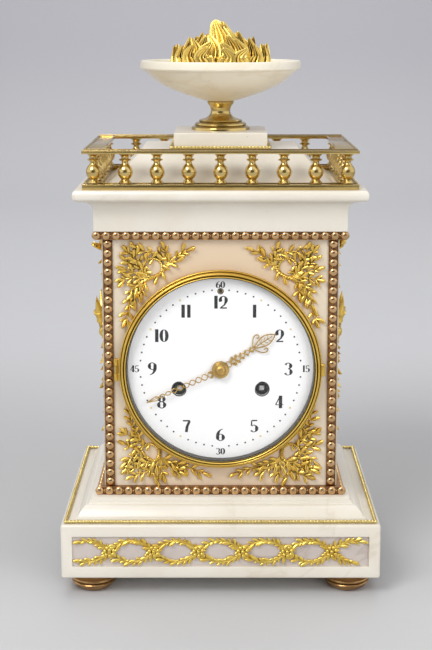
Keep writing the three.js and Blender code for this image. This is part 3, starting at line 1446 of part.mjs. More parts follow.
// Escape wheel and pallets
function escapeWheel() {
  const step = 2 * Math.PI / ESCAPE_TEETH;
  const root = 0.82 * ESCAPE_RADIUS;
  const points = [];
  for (let tooth = 0; tooth < ESCAPE_TEETH; tooth += 1) {
    points.push(polar(root, tooth * step), polar(ESCAPE_RADIUS, (tooth + 0.2) * step));
  }
  const rim = plate(new THREE.Shape(points), escapeFront, escapeFront + WHEEL_THICKNESS);
  return join(
    arbor(),
    rim,
    pinion(PINION_LEAVES, thirdPitch.pinion, escapePhase, pinionFront(thirdFront)),
  );
}

placed(piece(movement, "escape_wheel", escapeWheel(), brass), escape);

const cockFront = backPlateBack + COCK_GAP;
const cockBack = cockFront + PLATE_THICKNESS;
const rodY0 = backPlateBack + PENDULUM_GAP;
const crutchFront = backPlateBack + 2;
const crutchDrop = 27;
const forkGap = ROD_RADIUS + CLEARANCE;

function pallets() {
  const tipReach = ESCAPE_RADIUS + PALLET_CLEARANCE;
  const drop = PALLET_RISE - ESCAPE_RISE;
  const tipX = tipReach * Math.sin(PALLET_SPAN / 2);
  const tipZ = tipReach * Math.cos(PALLET_SPAN / 2) - drop;
  const hub = 2.6;
  const right = [
    [hub, 1.2],
    [tipX + 1.6, tipZ + 2.4],
    [tipX + 1.8, tipZ - 0.8],
    [tipX, tipZ],
    [tipX - 1.4, tipZ + 1.9],
    [0.5 * hub, -0.9 * hub],
  ];
  const left = right.map(([x, z]) => [-x, z]).reverse();
  const anchorOutline = new THREE.Shape(toPoints([[0, hub], ...right, ...left]));
  const anchor = plate(anchorOutline, escapeFront, escapeFront + 2);
  const shaft = turnedY([
    [0, frontPlateFront],
    [PIVOT_RADIUS, frontPlateFront],
    [PIVOT_RADIUS, frontPlateBack + CLEARANCE],
    [ARBOR_RADIUS, frontPlateBack + CLEARANCE],
    [ARBOR_RADIUS, cockFront - CLEARANCE],
    [PIVOT_RADIUS, cockFront - CLEARANCE],
    [PIVOT_RADIUS, cockBack],
    [0, cockBack],
  ], SMALL_ROUND);
  const crutch = box([-1, crutchFront, -crutchDrop], [1, crutchFront + 1.4, 0]);
  const bridge = box(
    [-forkGap - 1.4, crutchFront, -crutchDrop],
    [forkGap + 1.4, crutchFront + 1.4, 2 - crutchDrop],
  );
  const prongs = [1, -1].map((xSign) => {
    const inner = xSign * forkGap;
    const outer = xSign * (forkGap + 1.4);
    return box(
      [Math.min(inner, outer), crutchFront, -crutchDrop],
      [Math.max(inner, outer), rodY0 + ROD_RADIUS, 2 - crutchDrop],
    );
  });
  return join(anchor, shaft, crutch, bridge, ...prongs);
}

placed(piece(movement, "pallets", pallets(), steel), pallet);

// Back cock: a bridge behind the back plate that carries the pallets, the pendulum and the regulator
function backCock() {
  const bottom = -7;
  const top = REGULATOR_RISE - PALLET_RISE + 4;
  const half = COCK_WIDTH / 2;
  const holes = [
    circlePoints(0, 0, pivotHole, SMALL_ROUND),
    circlePoints(0, REGULATOR_RISE - PALLET_RISE, REGULATOR_RADIUS + CLEARANCE, SMALL_ROUND),
  ];
  const outline = toPoints([
    [-half, bottom],
    [half, bottom],
    [half, 0],
    [0.3 * half, top],
    [-0.3 * half, top],
    [-half, 0],
  ]);
  const wall = plate(withHoles(outline, holes), cockFront, cockBack);
  const legs = [1, -1].map((xSign) => {
    const inner = xSign * (half - 3);
    const outer = xSign * half;
    return box(
      [Math.min(inner, outer), backPlateBack, bottom],
      [Math.max(inner, outer), cockFront + SINK, 0],
    );
  });
  const hookEnd = rodY0 + 4;
  const hook = turnedY([
    [PIVOT_RADIUS + CLEARANCE, cockFront + SINK],
    [1.9, cockFront + SINK],
    [1.9, hookEnd],
    [2.8, hookEnd],
    [2.8, hookEnd + 1],
    [PIVOT_RADIUS + CLEARANCE, hookEnd + 1],
    [PIVOT_RADIUS + CLEARANCE, cockFront + SINK],
  ], PIPE_FACETS);
  return join(wall, ...legs, hook);
}

placed(piece(movement, "back_cock", backCock(), brass), pallet);

// Pendulum: an eye that hangs on the cock, a rod and a lens-shaped bob
function pendulum() {
  const eye = ringY(1.9 + CLEARANCE, 4.2, rodY0 - 1.6, rodY0 + 1.6, PIPE_FACETS);
  const rodTop = -3.2;
  const rodFoot = -PENDULUM_LENGTH - BOB_RADIUS - 5;
  const rodPairs = [[0, rodFoot], [ROD_RADIUS, rodFoot], [ROD_RADIUS, rodTop], [0, rodTop]];
  const rod = turnedZ(toPoints(rodPairs), SMALL_ROUND).translate(0, rodY0, 0);
  const half = BOB_THICKNESS / 2;
  const bob = turnedY([
    [0, rodY0 - half],
    [0.6 * BOB_RADIUS, rodY0 - 0.72 * half],
    [BOB_RADIUS, rodY0 - 0.2 * half],
    [BOB_RADIUS, rodY0 + 0.2 * half],
    [0.6 * BOB_RADIUS, rodY0 + 0.72 * half],
    [0, rodY0 + half],
  ], 14).translate(0, 0, -PENDULUM_LENGTH);
  const nutTop = -PENDULUM_LENGTH - BOB_RADIUS - 0.5;
  const nutPairs = [[0, nutTop - 3], [3, nutTop - 3], [3, nutTop], [0, nutTop]];
  const nut = turnedZ(toPoints(nutPairs), PIPE_FACETS).translate(0, rodY0, 0);
  return join(eye, rod, bob, nut);
}

placed(piece(movement, "pendulum", pendulum(), brass), pallet);

// Strike side: count wheel, driven by the strike barrel, and the hammer of the bell
const countPitch = pitchRadii(strikeBarrel, countArbor, WHEEL_TEETH, PINION_LEAVES);
const countPhase = meshPhase(strikeBarrel, countArbor, WHEEL_TEETH, 0, PINION_LEAVES);

function countWheel() {
  const discFront = backPlateBack + 1;
  const shaft = turnedY([
    [0, frontPlateFront],
    [PIVOT_RADIUS, frontPlateFront],
    [PIVOT_RADIUS, frontPlateBack + CLEARANCE],
    [ARBOR_RADIUS, frontPlateBack + CLEARANCE],
    [ARBOR_RADIUS, discFront + 2.4],
    [0, discFront + 2.4],
  ], SMALL_ROUND);
  const root = COUNT_WHEEL_RADIUS - 2.2;
  const points = [];
  let strokes = 1;
  for (let notch = 0; notch < COUNT_WHEEL_NOTCHES; notch += 1) {
    const start = 2 * Math.PI * countedBefore(strokes) / strokesInAll;
    const end = 2 * Math.PI * countedBefore(strokes + 1) / strokesInAll;
    const slot = 0.06;
    points.push(polar(root, start), polar(root, start + slot), polar(COUNT_WHEEL_RADIUS, start + slot));
    for (let share = 0.5; share < 1 && end - start > 0.5; share += 0.5) {
      points.push(polar(COUNT_WHEEL_RADIUS, start + (end - start) * share));
    }
    points.push(polar(COUNT_WHEEL_RADIUS, end));
    strokes += 1;
  }
  const disc = plate(new THREE.Shape(points), discFront, discFront + WHEEL_THICKNESS);
  return join(shaft, disc, pinion(PINION_LEAVES, countPitch.pinion, countPhase, pinionFront(greatFront)));
}

// Strokes counted up to an hour, over the hours from 1 to the number of notches
function countedBefore(hour) {
  return hour * (hour - 1) / 2;
}
const strokesInAll = countedBefore(COUNT_WHEEL_NOTCHES + 1);

placed(piece(movement, "count_wheel", countWheel(), brass), countArbor);

function hammerArm() {
  const headY = bellMouth + 3;
  const armFront = backPlateBack + 3;
  const shaft = turnedY([
    [0, frontPlateFront],
    [PIVOT_RADIUS, frontPlateFront],
    [PIVOT_RADIUS, frontPlateBack + CLEARANCE],
    [ARBOR_RADIUS, frontPlateBack + CLEARANCE],
    [ARBOR_RADIUS, armFront + 2],
    [0, armFront + 2],
  ], SMALL_ROUND);
  const bellEdge = -Math.sqrt(BELL_RADIUS ** 2 - (HAMMER_RISE - HAMMER_REACH) ** 2) - HAMMER_X;
  const faceX = bellEdge - HAMMER_GAP;
  const headX = faceX - HAMMER_HEAD_LENGTH;
  const lean = Math.atan2(-headX, HAMMER_REACH);
  const armLength = Math.hypot(headX, HAMMER_REACH);
  const arm = box([-1, armFront, -armLength], [1, armFront + 2, 0]).rotateY(lean);
  const post = rodAt(headX, -HAMMER_REACH, 1.2, armFront, headY + 1.2);
  const head = turnedY([
    [0, -1],
    [HAMMER_HEAD_RADIUS, -1],
    [HAMMER_HEAD_RADIUS, 0.9 * HAMMER_HEAD_LENGTH],
    [0.6 * HAMMER_HEAD_RADIUS, HAMMER_HEAD_LENGTH],
    [0, HAMMER_HEAD_LENGTH],
  ], SMALL_ROUND);
  head.rotateZ(-Math.PI / 2).translate(headX, headY, -HAMMER_REACH);
  return join(shaft, arm, post, head);
}

placed(piece(movement, "hammer", hammerArm(), steel), hammer);

// Regulator arbor over the 12, held by the dial ring and the back cock
function regulatorArbor() {
  const square = 0.7 * REGULATOR_RADIUS;
  const shaft = rodY(REGULATOR_RADIUS, ringFront, cockBack);
  const key = box([-square, ringFront - DIAL_EDGE, -square], [square, ringFront + SINK, square]);
  return join(shaft, key);
}

placed(piece(movement, "regulator_arbor", regulatorArbor(), steel), new THREE.Vector2(0, REGULATOR_RISE));

export default clock;
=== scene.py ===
"""Marble pendulum clock: finishes, fine pieces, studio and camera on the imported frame."""

import logging
import math
import random
from dataclasses import dataclass, field
from enum import Enum
from typing import Callable, Iterable, Optional, Sequence, Union

import bmesh
import bpy
from mathutils import Matrix, Vector


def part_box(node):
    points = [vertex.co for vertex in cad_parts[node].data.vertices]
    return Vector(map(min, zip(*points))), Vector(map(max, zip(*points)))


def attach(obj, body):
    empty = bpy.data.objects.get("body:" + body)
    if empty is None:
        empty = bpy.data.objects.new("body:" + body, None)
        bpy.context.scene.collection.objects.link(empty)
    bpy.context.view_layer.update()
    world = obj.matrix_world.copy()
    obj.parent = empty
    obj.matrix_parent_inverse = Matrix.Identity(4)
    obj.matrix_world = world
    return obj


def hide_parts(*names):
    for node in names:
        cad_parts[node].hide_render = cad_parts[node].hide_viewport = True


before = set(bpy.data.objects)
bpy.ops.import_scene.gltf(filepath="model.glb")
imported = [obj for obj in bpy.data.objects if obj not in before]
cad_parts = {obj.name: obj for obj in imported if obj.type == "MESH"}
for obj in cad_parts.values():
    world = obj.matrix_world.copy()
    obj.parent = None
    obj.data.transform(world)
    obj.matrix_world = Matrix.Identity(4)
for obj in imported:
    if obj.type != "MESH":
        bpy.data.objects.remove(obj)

LOG = logging.getLogger("clock")
MILLIMETRE = 0.001
WELD = 1e-5

Profile = Sequence[tuple[float, float]]
Corner = Sequence[float]
Colour = tuple[float, float, float, float]


def srgb(red: int, green: int, blue: int) -> Colour:
    """Turn a screen colour into the linear colour that shaders take.

    Args:
        red: Red from 0 to 255.
        green: Green from 0 to 255.
        blue: Blue from 0 to 255.

    Returns:
        The linear colour with full alpha.
    """

    def linear(level: int) -> float:
        """Undo the screen curve for one channel."""
        share = level / 255
        return share / 12.92 if share <= 0.04045 else ((share + 0.055) / 1.055) ** 2.4

    return (linear(red), linear(green), linear(blue), 1.0)


def evenly(count: int, reach: float) -> list[float]:
    """Spread two or more places evenly from -reach to reach, in rising order."""
    return [-reach + 2 * reach * index / (count - 1) for index in range(count)]


def moved(x: float, y: float, z: float) -> Matrix:
    """Move a form's origin to a point."""
    return Matrix.Translation((x, y, z))


def spun(degrees: float, axis: str) -> Matrix:
    """Turn a form round an axis through the origin."""
    return Matrix.Rotation(math.radians(degrees), 4, axis)


def facing(x: float, y: float, z: float) -> Matrix:
    """Turn a form that stands up Z to look out of the front, with its foot at a point."""
    return moved(x, y, z) @ spun(90, "X")


def backward(x: float, y: float, z: float) -> Matrix:
    """Turn a form that stands up Z to look out of the back, with its foot at a point."""
    return moved(x, y, z) @ spun(-90, "X")


class Side(Enum):
    """The two hands of the clock, seen from the front."""

    LEFT = -1
    RIGHT = 1

    @property
    def word(self) -> str:
        """The side's name as the nodes spell it."""
        return self.name.lower()


@dataclass(frozen=True)
class Span:
    """The box that some CAD nodes fill at rest, in millimetres."""

    low: Vector
    high: Vector

    @classmethod
    def of(cls, *nodes: str) -> "Span":
        """Measure nodes of the frame.

        Args:
            nodes: The names of the nodes.

        Returns:
            The box round all of them.
        """
        corners = [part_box(node) for node in nodes]
        low = [min(pair[0][axis] for pair in corners) / MILLIMETRE for axis in range(3)]
        high = [max(pair[1][axis] for pair in corners) / MILLIMETRE for axis in range(3)]
        return cls(Vector(low), Vector(high))

    @property
    def centre(self) -> Vector:
        """The middle of the box."""
        return (self.low + self.high) / 2

    @property
    def size(self) -> Vector:
        """The box's width, depth and height."""
        return self.high - self.low

    @property
    def stretch(self) -> float:
        """How much more the half width is than the half depth."""
        return (self.size.x - self.size.y) / 2

    @property
    def foot(self) -> Matrix:
        """The move that stands a form on the middle of the box's floor."""
        return moved(self.centre.x, self.centre.y, self.low.z)


class Form:
    """A mesh in the making, in millimetres, shaped by bmesh operators."""

    def __init__(self) -> None:
        """Start with nothing."""
        self.cage = bmesh.new()

    @classmethod
    def turned(cls, profile: Profile, steps: int = 64, loop: bool = False) -> "Form":
        """Spin a profile round the Z axis.

        Args:
            profile: Points of radius and height.
            steps: How many steps the turn takes.
            loop: Whether the last point joins the first.

        Returns:
            The turned form.
        """
        form = cls()
        points = [form.cage.verts.new((radius, 0, height)) for radius, height in profile]
        pairs = list(zip(points, points[1:]))
        if loop:
            pairs.append((points[-1], points[0]))
        lines = [form.cage.edges.new(pair) for pair in pairs]
        bmesh.ops.spin(
            form.cage, geom=[*points, *lines], cent=(0, 0, 0), axis=(0, 0, 1),
            angle=math.tau, steps=steps, use_merge=True,
        )
        return form.tidied()

    @classmethod
    def lathed(cls, shape: Profile, radius: float, height: float, steps: int) -> "Form":
        """Spin a profile that is given in shares of a radius and a height."""
        return cls.turned([(radius * out, height * up) for out, up in shape], steps)

    @classmethod
    def tube(cls, bore: float, radius: float, low: float, high: float, steps: int) -> "Form":
        """Turn a tube, or a rod where the bore is 0."""
        return cls.turned([(bore, low), (radius, low), (radius, high), (bore, high)], steps, bore > 0)

    @classmethod
    def mitred(cls, profile: Profile, stretch: float, head_stretch: Optional[float] = None) -> "Form":
        """Run a moulding round an oblong block.

        Args:
            profile: Points of half depth and height, from the bottom's middle to the top's.
            stretch: How much more the half width is than the half depth.
            head_stretch: The same at the top, where it differs.

        Returns:
            The closed block with the moulding on its four sides.
        """
        form = cls.turned([(radius * math.sqrt(2), height) for radius, height in profile], steps=4)
        form.placed(spun(45, "Z"))
        foot = profile[0][1]
        rise = profile[-1][1] - foot
        more = 0.0 if head_stretch is None else head_stretch - stretch
        for vert in form.cage.verts:
            if abs(vert.co.x) > WELD:
                push = stretch + more * (vert.co.z - foot) / rise
                vert.co.x += math.copysign(push, vert.co.x)
        return form.tidied()

    @classmethod
    def block(cls, low: Corner, high: Corner, edge: float = 0.0, segments: int = 2) -> "Form":
        """Make a box with eased edges.

        Args:
            low: The lowest corner.
            high: The highest corner.
            edge: How far the easing reaches.
            segments: How many facets the easing has.

        Returns:
            The box.
        """
        form = cls()
        bmesh.ops.create_cube(form.cage, size=1)
        size = Vector(high) - Vector(low)
        middle = (Vector(high) + Vector(low)) / 2
        form.placed(Matrix.Translation(middle) @ Matrix.Diagonal((*size, 1)))
        return form.eased(edge, segments) if edge else form

    @classmethod
    def ball(cls, radius: float, round_steps: int = 14, up_steps: int = 8) -> "Form":
        """Make a bead.

        Args:
            radius: The bead's radius.
            round_steps: Facets round it.
            up_steps: Facets from pole to pole.

        Returns:
            The bead at the origin.
        """
        form = cls()
        bmesh.ops.create_uvsphere(form.cage, u_segments=round_steps, v_segments=up_steps, radius=radius)
        return form

    @classmethod
    def swept(
        cls, path: Sequence[Vector], radius: Callable[[float], float], sides: int = 8, flatness: float = 1.0,
        turns: float = 0.0, lobes: int = 0, lobe_depth: float = 0.0, up: Vector = Vector((0, -1, 0)),
    ) -> "Form":
        """Draw a round or lobed section along a path.

        Args:
            path: The points that the middle follows.
            radius: The section's radius at a share of the path.
            sides: Facets round the section.
            flatness: The section's thickness over its width.
            turns: How many times the section turns on the way.
            lobes: How many strands the section shows.
            lobe_depth: How deep the strands are cut.
            up: The side of the path that the section's thickness faces.

        Returns:
            The closed rod.
        """
        form = cls()
        ring = bmesh.ops.create_circle(form.cage, segments=sides, radius=1)["verts"]
        for vert in ring:
            angle = math.atan2(vert.co.y, vert.co.x)
            vert.co *= 1 + lobe_depth * math.cos(lobes * angle)
        rim = list({line for vert in ring for line in vert.link_edges})
        before = Matrix()
        for index, point in enumerate(path):
            share = index / (len(path) - 1)
            ahead = path[min(index + 1, len(path) - 1)] - path[max(index - 1, 0)]
            forward = ahead.normalized()
            across = forward.cross(up).normalized()
            rise = across.cross(forward).normalized()
            wide = max(radius(share), WELD * 10)
            spin = Matrix.Rotation(math.tau * turns * share, 4, "Z")
            frame_axes = Matrix((across, rise, forward)).transposed().to_4x4()
            size = Matrix.Diagonal((wide, wide * flatness, wide, 1))
            after = Matrix.Translation(point) @ frame_axes @ size @ spin
            if index:
                grown = bmesh.ops.extrude_edge_only(form.cage, edges=rim)["geom"]
                ring = [part for part in grown if isinstance(part, bmesh.types.BMVert)]
                fresh = set(ring)
                lines = [part for part in grown if isinstance(part, bmesh.types.BMEdge)]
                rim = [line for line in lines if fresh.issuperset(line.verts)]
            bmesh.ops.transform(form.cage, matrix=after @ before.inverted(), verts=ring)
            before = after
        ends = [line for line in form.cage.edges if line.is_boundary]
        bmesh.ops.holes_fill(form.cage, edges=ends, sides=0)
        return form.tidied()

    @classmethod
    def leaf(cls, length: float, width: float, ridge: float, thickness: float) -> "Form":
        """Make a pointed leaf with a raised middle rib, lying along X with its back at Z 0.

        Args:
            length: From stalk to tip.
            width: Across the middle.
            ridge: How high the rib stands.
            thickness: How thick the blade is.

        Returns:
            The closed leaf.
        """
        form = cls()
        bmesh.ops.create_grid(form.cage, x_segments=8, y_segments=6, size=0.5)
        for vert in form.cage.verts:
            along = vert.co.x + 0.5
            across = vert.co.y * 2
            belly = math.sin(math.pi * along) ** 0.6 * (0.8 + 0.3 * along) if 0 < along < 1 else 0.0
            swell = ridge * (1 - abs(across)) ** 0.8 * (0.25 + 0.75 * belly)
            vein = ridge * 0.3 * max(0.0, 1 - 5 * abs(across)) * belly
            curl = ridge * 0.5 * along ** 3
            vert.co = Vector((along * length, across * belly * width / 2, swell - vein + curl))
        form.tidied()
        bmesh.ops.solidify(form.cage, geom=form.cage.faces[:], thickness=thickness)
        return form.tidied()

    def tidied(self) -> "Form":
        """Merge doubles, drop collapsed faces and turn the faces outward.

        Returns:
            This form.
        """
        bmesh.ops.remove_doubles(self.cage, verts=self.cage.verts[:], dist=WELD)
        bmesh.ops.dissolve_degenerate(self.cage, dist=WELD, edges=self.cage.edges[:])
        bmesh.ops.recalc_face_normals(self.cage, faces=self.cage.faces[:])
        return self

    def placed(self, matrix: Matrix) -> "Form":
        """Move the whole form, and give it back."""
        bmesh.ops.transform(self.cage, matrix=matrix, verts=self.cage.verts[:])
        return self

    def eased(self, width: float, segments: int = 2, sharper_than: float = 25.0) -> "Form":
        """Bevel the sharp edges.

        Args:
            width: How far the bevel reaches.
            segments: How many facets it has.
            sharper_than: The least angle of an edge that is bevelled, in degrees.

        Returns:
            This form.
        """
        limit = math.radians(sharper_than)
        lines = [line for line in self.cage.edges if line.is_manifold and line.calc_face_angle(0) > limit]
        bmesh.ops.bevel(
            self.cage, geom=lines, offset=width, offset_type="OFFSET", segments=segments,
            profile=0.5, affect="EDGES", clamp_overlap=True, material=-1,
        )
        return self.tidied()

    def bored(self, cutter: "Form") -> "Form":
        """Cut another form out of this one.

        Args:
            cutter: The form to cut away.

        Returns:
            This form.
        """
        stock = bpy.data.meshes.new("stock")
        tool = bpy.data.meshes.new("tool")
        self.cage.to_mesh(stock)
        cutter.cage.to_mesh(tool)
        held = bpy.data.objects.new("stock", stock)
        drill = bpy.data.objects.new("tool", tool)
        for each in (held, drill):
            bpy.context.scene.collection.objects.link(each)
        cut = held.modifiers.new("bore", "BOOLEAN")
        cut.operation = "DIFFERENCE"
        cut.object = drill
        cut.solver = "EXACT"
        result = held.evaluated_get(bpy.context.evaluated_depsgraph_get()).to_mesh()
        self.cage.clear()
        self.cage.from_mesh(result)
        for each in (held, drill):
            bpy.data.objects.remove(each)
        for each in (stock, tool):
            bpy.data.meshes.remove(each)
        return self.tidied()

    def add(self, other: "Form", *places: Matrix) -> "Form":
        """Copy another form into this one.

        Args:
            other: The form to copy.
            places: Where its copies go, or nothing for where it is.

        Returns:
            This form.
        """
        stock = bpy.data.meshes.new("stock")
        other.cage.to_mesh(stock)
        for place in places or (Matrix(),):
            copy = stock.copy()
            copy.transform(place)
            self.cage.from_mesh(copy)
            bpy.data.meshes.remove(copy)
        bpy.data.meshes.remove(stock)
        return self


Number = Union[float, "Socket"]


class Socket:
    """A shader value that can be reckoned with like a number."""

    def __init__(self, graph: "ShaderGraph", output: bpy.types.NodeSocket) -> None:
        """Hold an output of a node of a graph."""
        self.graph = graph
        self.output = output

    def __add__(self, other: Number) -> "Socket":
        """Add a number or a socket."""
        return self.graph.reckon("ADD", self, other)

    def __radd__(self, other: Number) -> "Socket":
        """Add this to a number."""
        return self.graph.reckon("ADD", other, self)

    def __sub__(self, other: Number) -> "Socket":
        """Take a number or a socket away."""
        return self.graph.reckon("SUBTRACT", self, other)

    def __rsub__(self, other: Number) -> "Socket":
        """Take this away from a number."""
        return self.graph.reckon("SUBTRACT", other, self)

    def __mul__(self, other: Number) -> "Socket":
        """Multiply by a number or a socket."""
        return self.graph.reckon("MULTIPLY", self, other)

    def __rmul__(self, other: Number) -> "Socket":
        """Multiply a number by this."""
        return self.graph.reckon("MULTIPLY", other, self)

    def __abs__(self) -> "Socket":
        """Drop the sign."""
        return self.graph.reckon("ABSOLUTE", self)

    def between(self, low: float, high: float) -> "Socket":
        """Rise smoothly from 0 at one level to 1 at another."""
        settings = {"interpolation_type": "SMOOTHSTEP", "clamp": True}
        return self.graph.node("ShaderNodeMapRange", settings, {0: self, 1: low, 2: high, 3: 0.0, 4: 1.0})


class ShaderGraph:
    """The node graph of one material."""

    def __init__(self, name: str) -> None:
        """Start an empty material.

        Args:
            name: The material's name.
        """
        self.material = bpy.data.materials.new(name)
        self.material.use_nodes = True
        self.tree = self.material.node_tree
        self.tree.nodes.clear()

    @classmethod
    def inside(cls, tree: bpy.types.NodeTree) -> "ShaderGraph":
        """Work in a node tree that is there already, such as a world's.

        Args:
            tree: The tree, which is emptied.

        Returns:
            The graph.
        """
        graph = cls.__new__(cls)
        graph.tree = tree
        tree.nodes.clear()
        return graph

    def node(self, kind: str, settings: dict, inputs: dict, output: Union[int, str] = 0) -> Socket:
        """Add a node, its settings first and then its inputs.

        Args:
            kind: The node's type.
            settings: The node's own properties.
            inputs: A value or a socket for each input, by name or number.
            output: Which output is wanted.

        Returns:
            That output.
        """
        made = self.tree.nodes.new(kind)
        for name, value in settings.items():
            setattr(made, name, value)
        for key, value in inputs.items():
            if isinstance(value, Socket):
                self.tree.links.new(value.output, made.inputs[key])
            else:
                made.inputs[key].default_value = value
        return Socket(self, made.outputs[output] if len(made.outputs) else None)

    def reckon(self, operation: str, *values: Number) -> Socket:
        """Reckon with numbers and sockets by a Math node."""
        return self.node("ShaderNodeMath", {"operation": operation}, dict(enumerate(values)))

    def mix(self, share: Number, first: Union[Colour, Socket], second: Union[Colour, Socket]) -> Socket:
        """Blend two colours, with a share of the second."""
        settings = {"data_type": "RGBA", "blend_type": "MIX"}
        return self.node("ShaderNodeMix", settings, {0: share, 6: first, 7: second}, 2)

    def place(self) -> Socket:
        """Give the object coordinates."""
        return self.node("ShaderNodeTexCoord", {}, {}, "Object")

    def axis(self, at: Socket, index: int) -> Socket:
        """Give one coordinate of a point: 0 across, 1 in depth and 2 upward."""
        return self.node("ShaderNodeSeparateXYZ", {}, {0: at}, index)

    def noise(self, at: Socket, scale: float, detail: float = 3.0, distortion: float = 0.0) -> Socket:
        """Add cloudy noise from 0 to 1, its scale in clouds to a metre."""
        inputs = {"Vector": at, "Scale": scale, "Detail": detail, "Distortion": distortion}
        return self.node("ShaderNodeTexNoise", {"noise_dimensions": "3D"}, inputs)

    def crevice(self, reach: float) -> Socket:
        """Find the share of open sky, 0 in a hollow as wide as a reach in metres."""
        settings = {"samples": 6, "only_local": True}
        return self.node("ShaderNodeAmbientOcclusion", settings, {"Distance": reach}, "AO")

    def bump(self, height: Socket, strength: float, distance: float) -> Socket:
        """Give the normal of a surface raised by a height, with 1 a distance in metres."""
        return self.node("ShaderNodeBump", {}, {"Height": height, "Strength": strength, "Distance": distance})

    def surface(self, **inputs: Union[Number, Colour]) -> bpy.types.Material:
        """Finish the material with one principled shader.

        Args:
            inputs: The shader's inputs, with an underscore for each space.

        Returns:
            The finished material.
        """
        named = {name.replace("_", " "): value for name, value in inputs.items()}
        shader = self.node("ShaderNodeBsdfPrincipled", {}, named)
        self.node("ShaderNodeOutputMaterial", {}, {"Surface": shader})
        return self.material


@dataclass(frozen=True)
class Marble:
    """Polished statuary marble with faint clouds, veins and sugar grain, and painted shade in its crevices.
    """

    name: str
    ground: Colour
    cloud: Colour
    vein: Colour
    vein_share: float
    roughness: float = 0.3
    pale: Optional[Colour] = None
    pale_from: float = 0.05
    pale_to: float = 0.08

    def build(self) -> bpy.types.Material:
        """Make the material.

        Returns:
            The material.
        """
        graph = ShaderGraph(self.name)
        at = graph.place()
        clouds = graph.noise(at, 11.0, 4.0, 0.6).between(0.35, 0.75)
        drift = graph.noise(at, 9.0, 6.0, 1.6)
        line = 1.0 - abs(drift - 0.5).between(0.0, 0.03)
        patch = graph.noise(at, 6.0, 2.0).between(0.48, 0.7)
        grain = graph.noise(at, 1400.0, 2.0)
        pits = graph.noise(at, 240.0, 2.0).between(0.76, 0.8)
        # Painted shade: the stone is mixed towards its vein colour in corners and crevices, where occlusion
        # finds little open sky.
        crevice_shade = 1.0 - graph.crevice(0.006).between(0.35, 0.95)
        stone = graph.mix(clouds, self.ground, self.cloud)
        if self.pale:
            across = abs(graph.axis(at, 0))
            stone = graph.mix(across.between(self.pale_from, self.pale_to) * 0.85, stone, self.pale)
        veined = graph.mix(line * patch * self.vein_share, stone, self.vein)
        pitted = graph.mix(pits * 0.45, veined, self.vein)
        darkened_in_hollows = graph.mix(crevice_shade * 0.55, pitted, self.vein)
        polish = self.roughness + grain * 0.08 + pits * 0.3
        relief = grain * 0.4 - pits
        return graph.surface(
            Base_Color=darkened_in_hollows, Roughness=polish, IOR=1.5, Coat_Weight=0.12, Coat_Roughness=0.15,
            Subsurface_Weight=0.06, Subsurface_Radius=(0.004, 0.003, 0.002), Subsurface_Scale=1.0,
            Normal=graph.bump(relief, 0.25, 0.00012),
        )


@dataclass(frozen=True)
class Metal:
    """Cast or turned metal with bright and worn tones, darker in its hollows with patina and painted shade.
    """

    name: str
    bright: Colour
    worn: Colour
    # The hollow colour is patina and painted shade for crevices and gaps.
    hollow: Colour
    roughness: float
    hollow_reach: float = 0.0025
    hollow_share: float = 0.85
    grain: float = 420.0
    relief: float = 0.3

    def build(self) -> bpy.types.Material:
        """Make the material.

        Returns:
            The material.
        """
        graph = ShaderGraph(self.name)
        at = graph.place()
        wear = graph.noise(at, 55.0, 4.0, 0.4).between(0.35, 0.7)
        cast = graph.noise(at, self.grain, 3.0)
        drawn_out = graph.node("ShaderNodeMapping", {}, {"Vector": at, "Scale": (1.0, 1.0, 18.0)})
        scratch = graph.noise(drawn_out, 700.0, 1.0)
        # Patina and painted shade: the tone is mixed towards the hollow colour where occlusion finds crevices
        # and gaps.
        depth = 1.0 - graph.crevice(self.hollow_reach).between(0.25, 0.9)
        tone = graph.mix(wear * 0.6, self.bright, self.worn)
        darkened_in_hollows = graph.mix(depth * self.hollow_share, tone, self.hollow)
        dull = self.roughness + wear * 0.08 + depth * 0.25 + (cast - 0.5) * 0.14
        return graph.surface(
            Base_Color=darkened_in_hollows, Metallic=1.0, Roughness=dull,
            Normal=graph.bump(cast + scratch * 0.25, self.relief, 0.00015),
        )


@dataclass(frozen=True)
class Enamel:
    """Fired enamel: a glossy white with a faint haze and a few specks."""

    name: str
    ground: Colour
    haze: Colour
    speck: Colour

    def build(self) -> bpy.types.Material:
        """Make the material.

        Returns:
            The material.
        """
        graph = ShaderGraph(self.name)
        at = graph.place()
        haze = graph.noise(at, 26.0, 3.0).between(0.4, 0.8)
        specks = graph.noise(at, 520.0, 1.0).between(0.8, 0.83)
        waves = graph.noise(at, 60.0, 2.0)
        tone = graph.mix(specks * 0.5, graph.mix(haze * 0.5, self.ground, self.haze), self.speck)
        return graph.surface(
            Base_Color=tone, Roughness=0.12 + haze * 0.06, IOR=1.5, Coat_Weight=0.6, Coat_Roughness=0.05,
            Normal=graph.bump(waves, 0.05, 0.0003),
        )


@dataclass(frozen=True)
class Print:
    """Fired print on enamel, a little uneven where the brush was dry; it also serves for flat tones of
    painted shade.
    """

    name: str
    full: Colour
    thin: Colour
    roughness: float = 0.35

    def build(self) -> bpy.types.Material:
        """Make the material.

        Returns:
            The material.
        """
        graph = ShaderGraph(self.name)
        at = graph.place()
        dry = graph.noise(at, 900.0, 3.0).between(0.5, 0.75)
        wash = graph.noise(at, 130.0, 2.0).between(0.4, 0.8)
        tone = graph.mix(dry * 0.4 + wash * 0.3, self.full, self.thin)
        return graph.surface(
            Base_Color=tone, Roughness=self.roughness + dry * 0.15, Normal=graph.bump(dry, 0.2, 0.00003)
        )


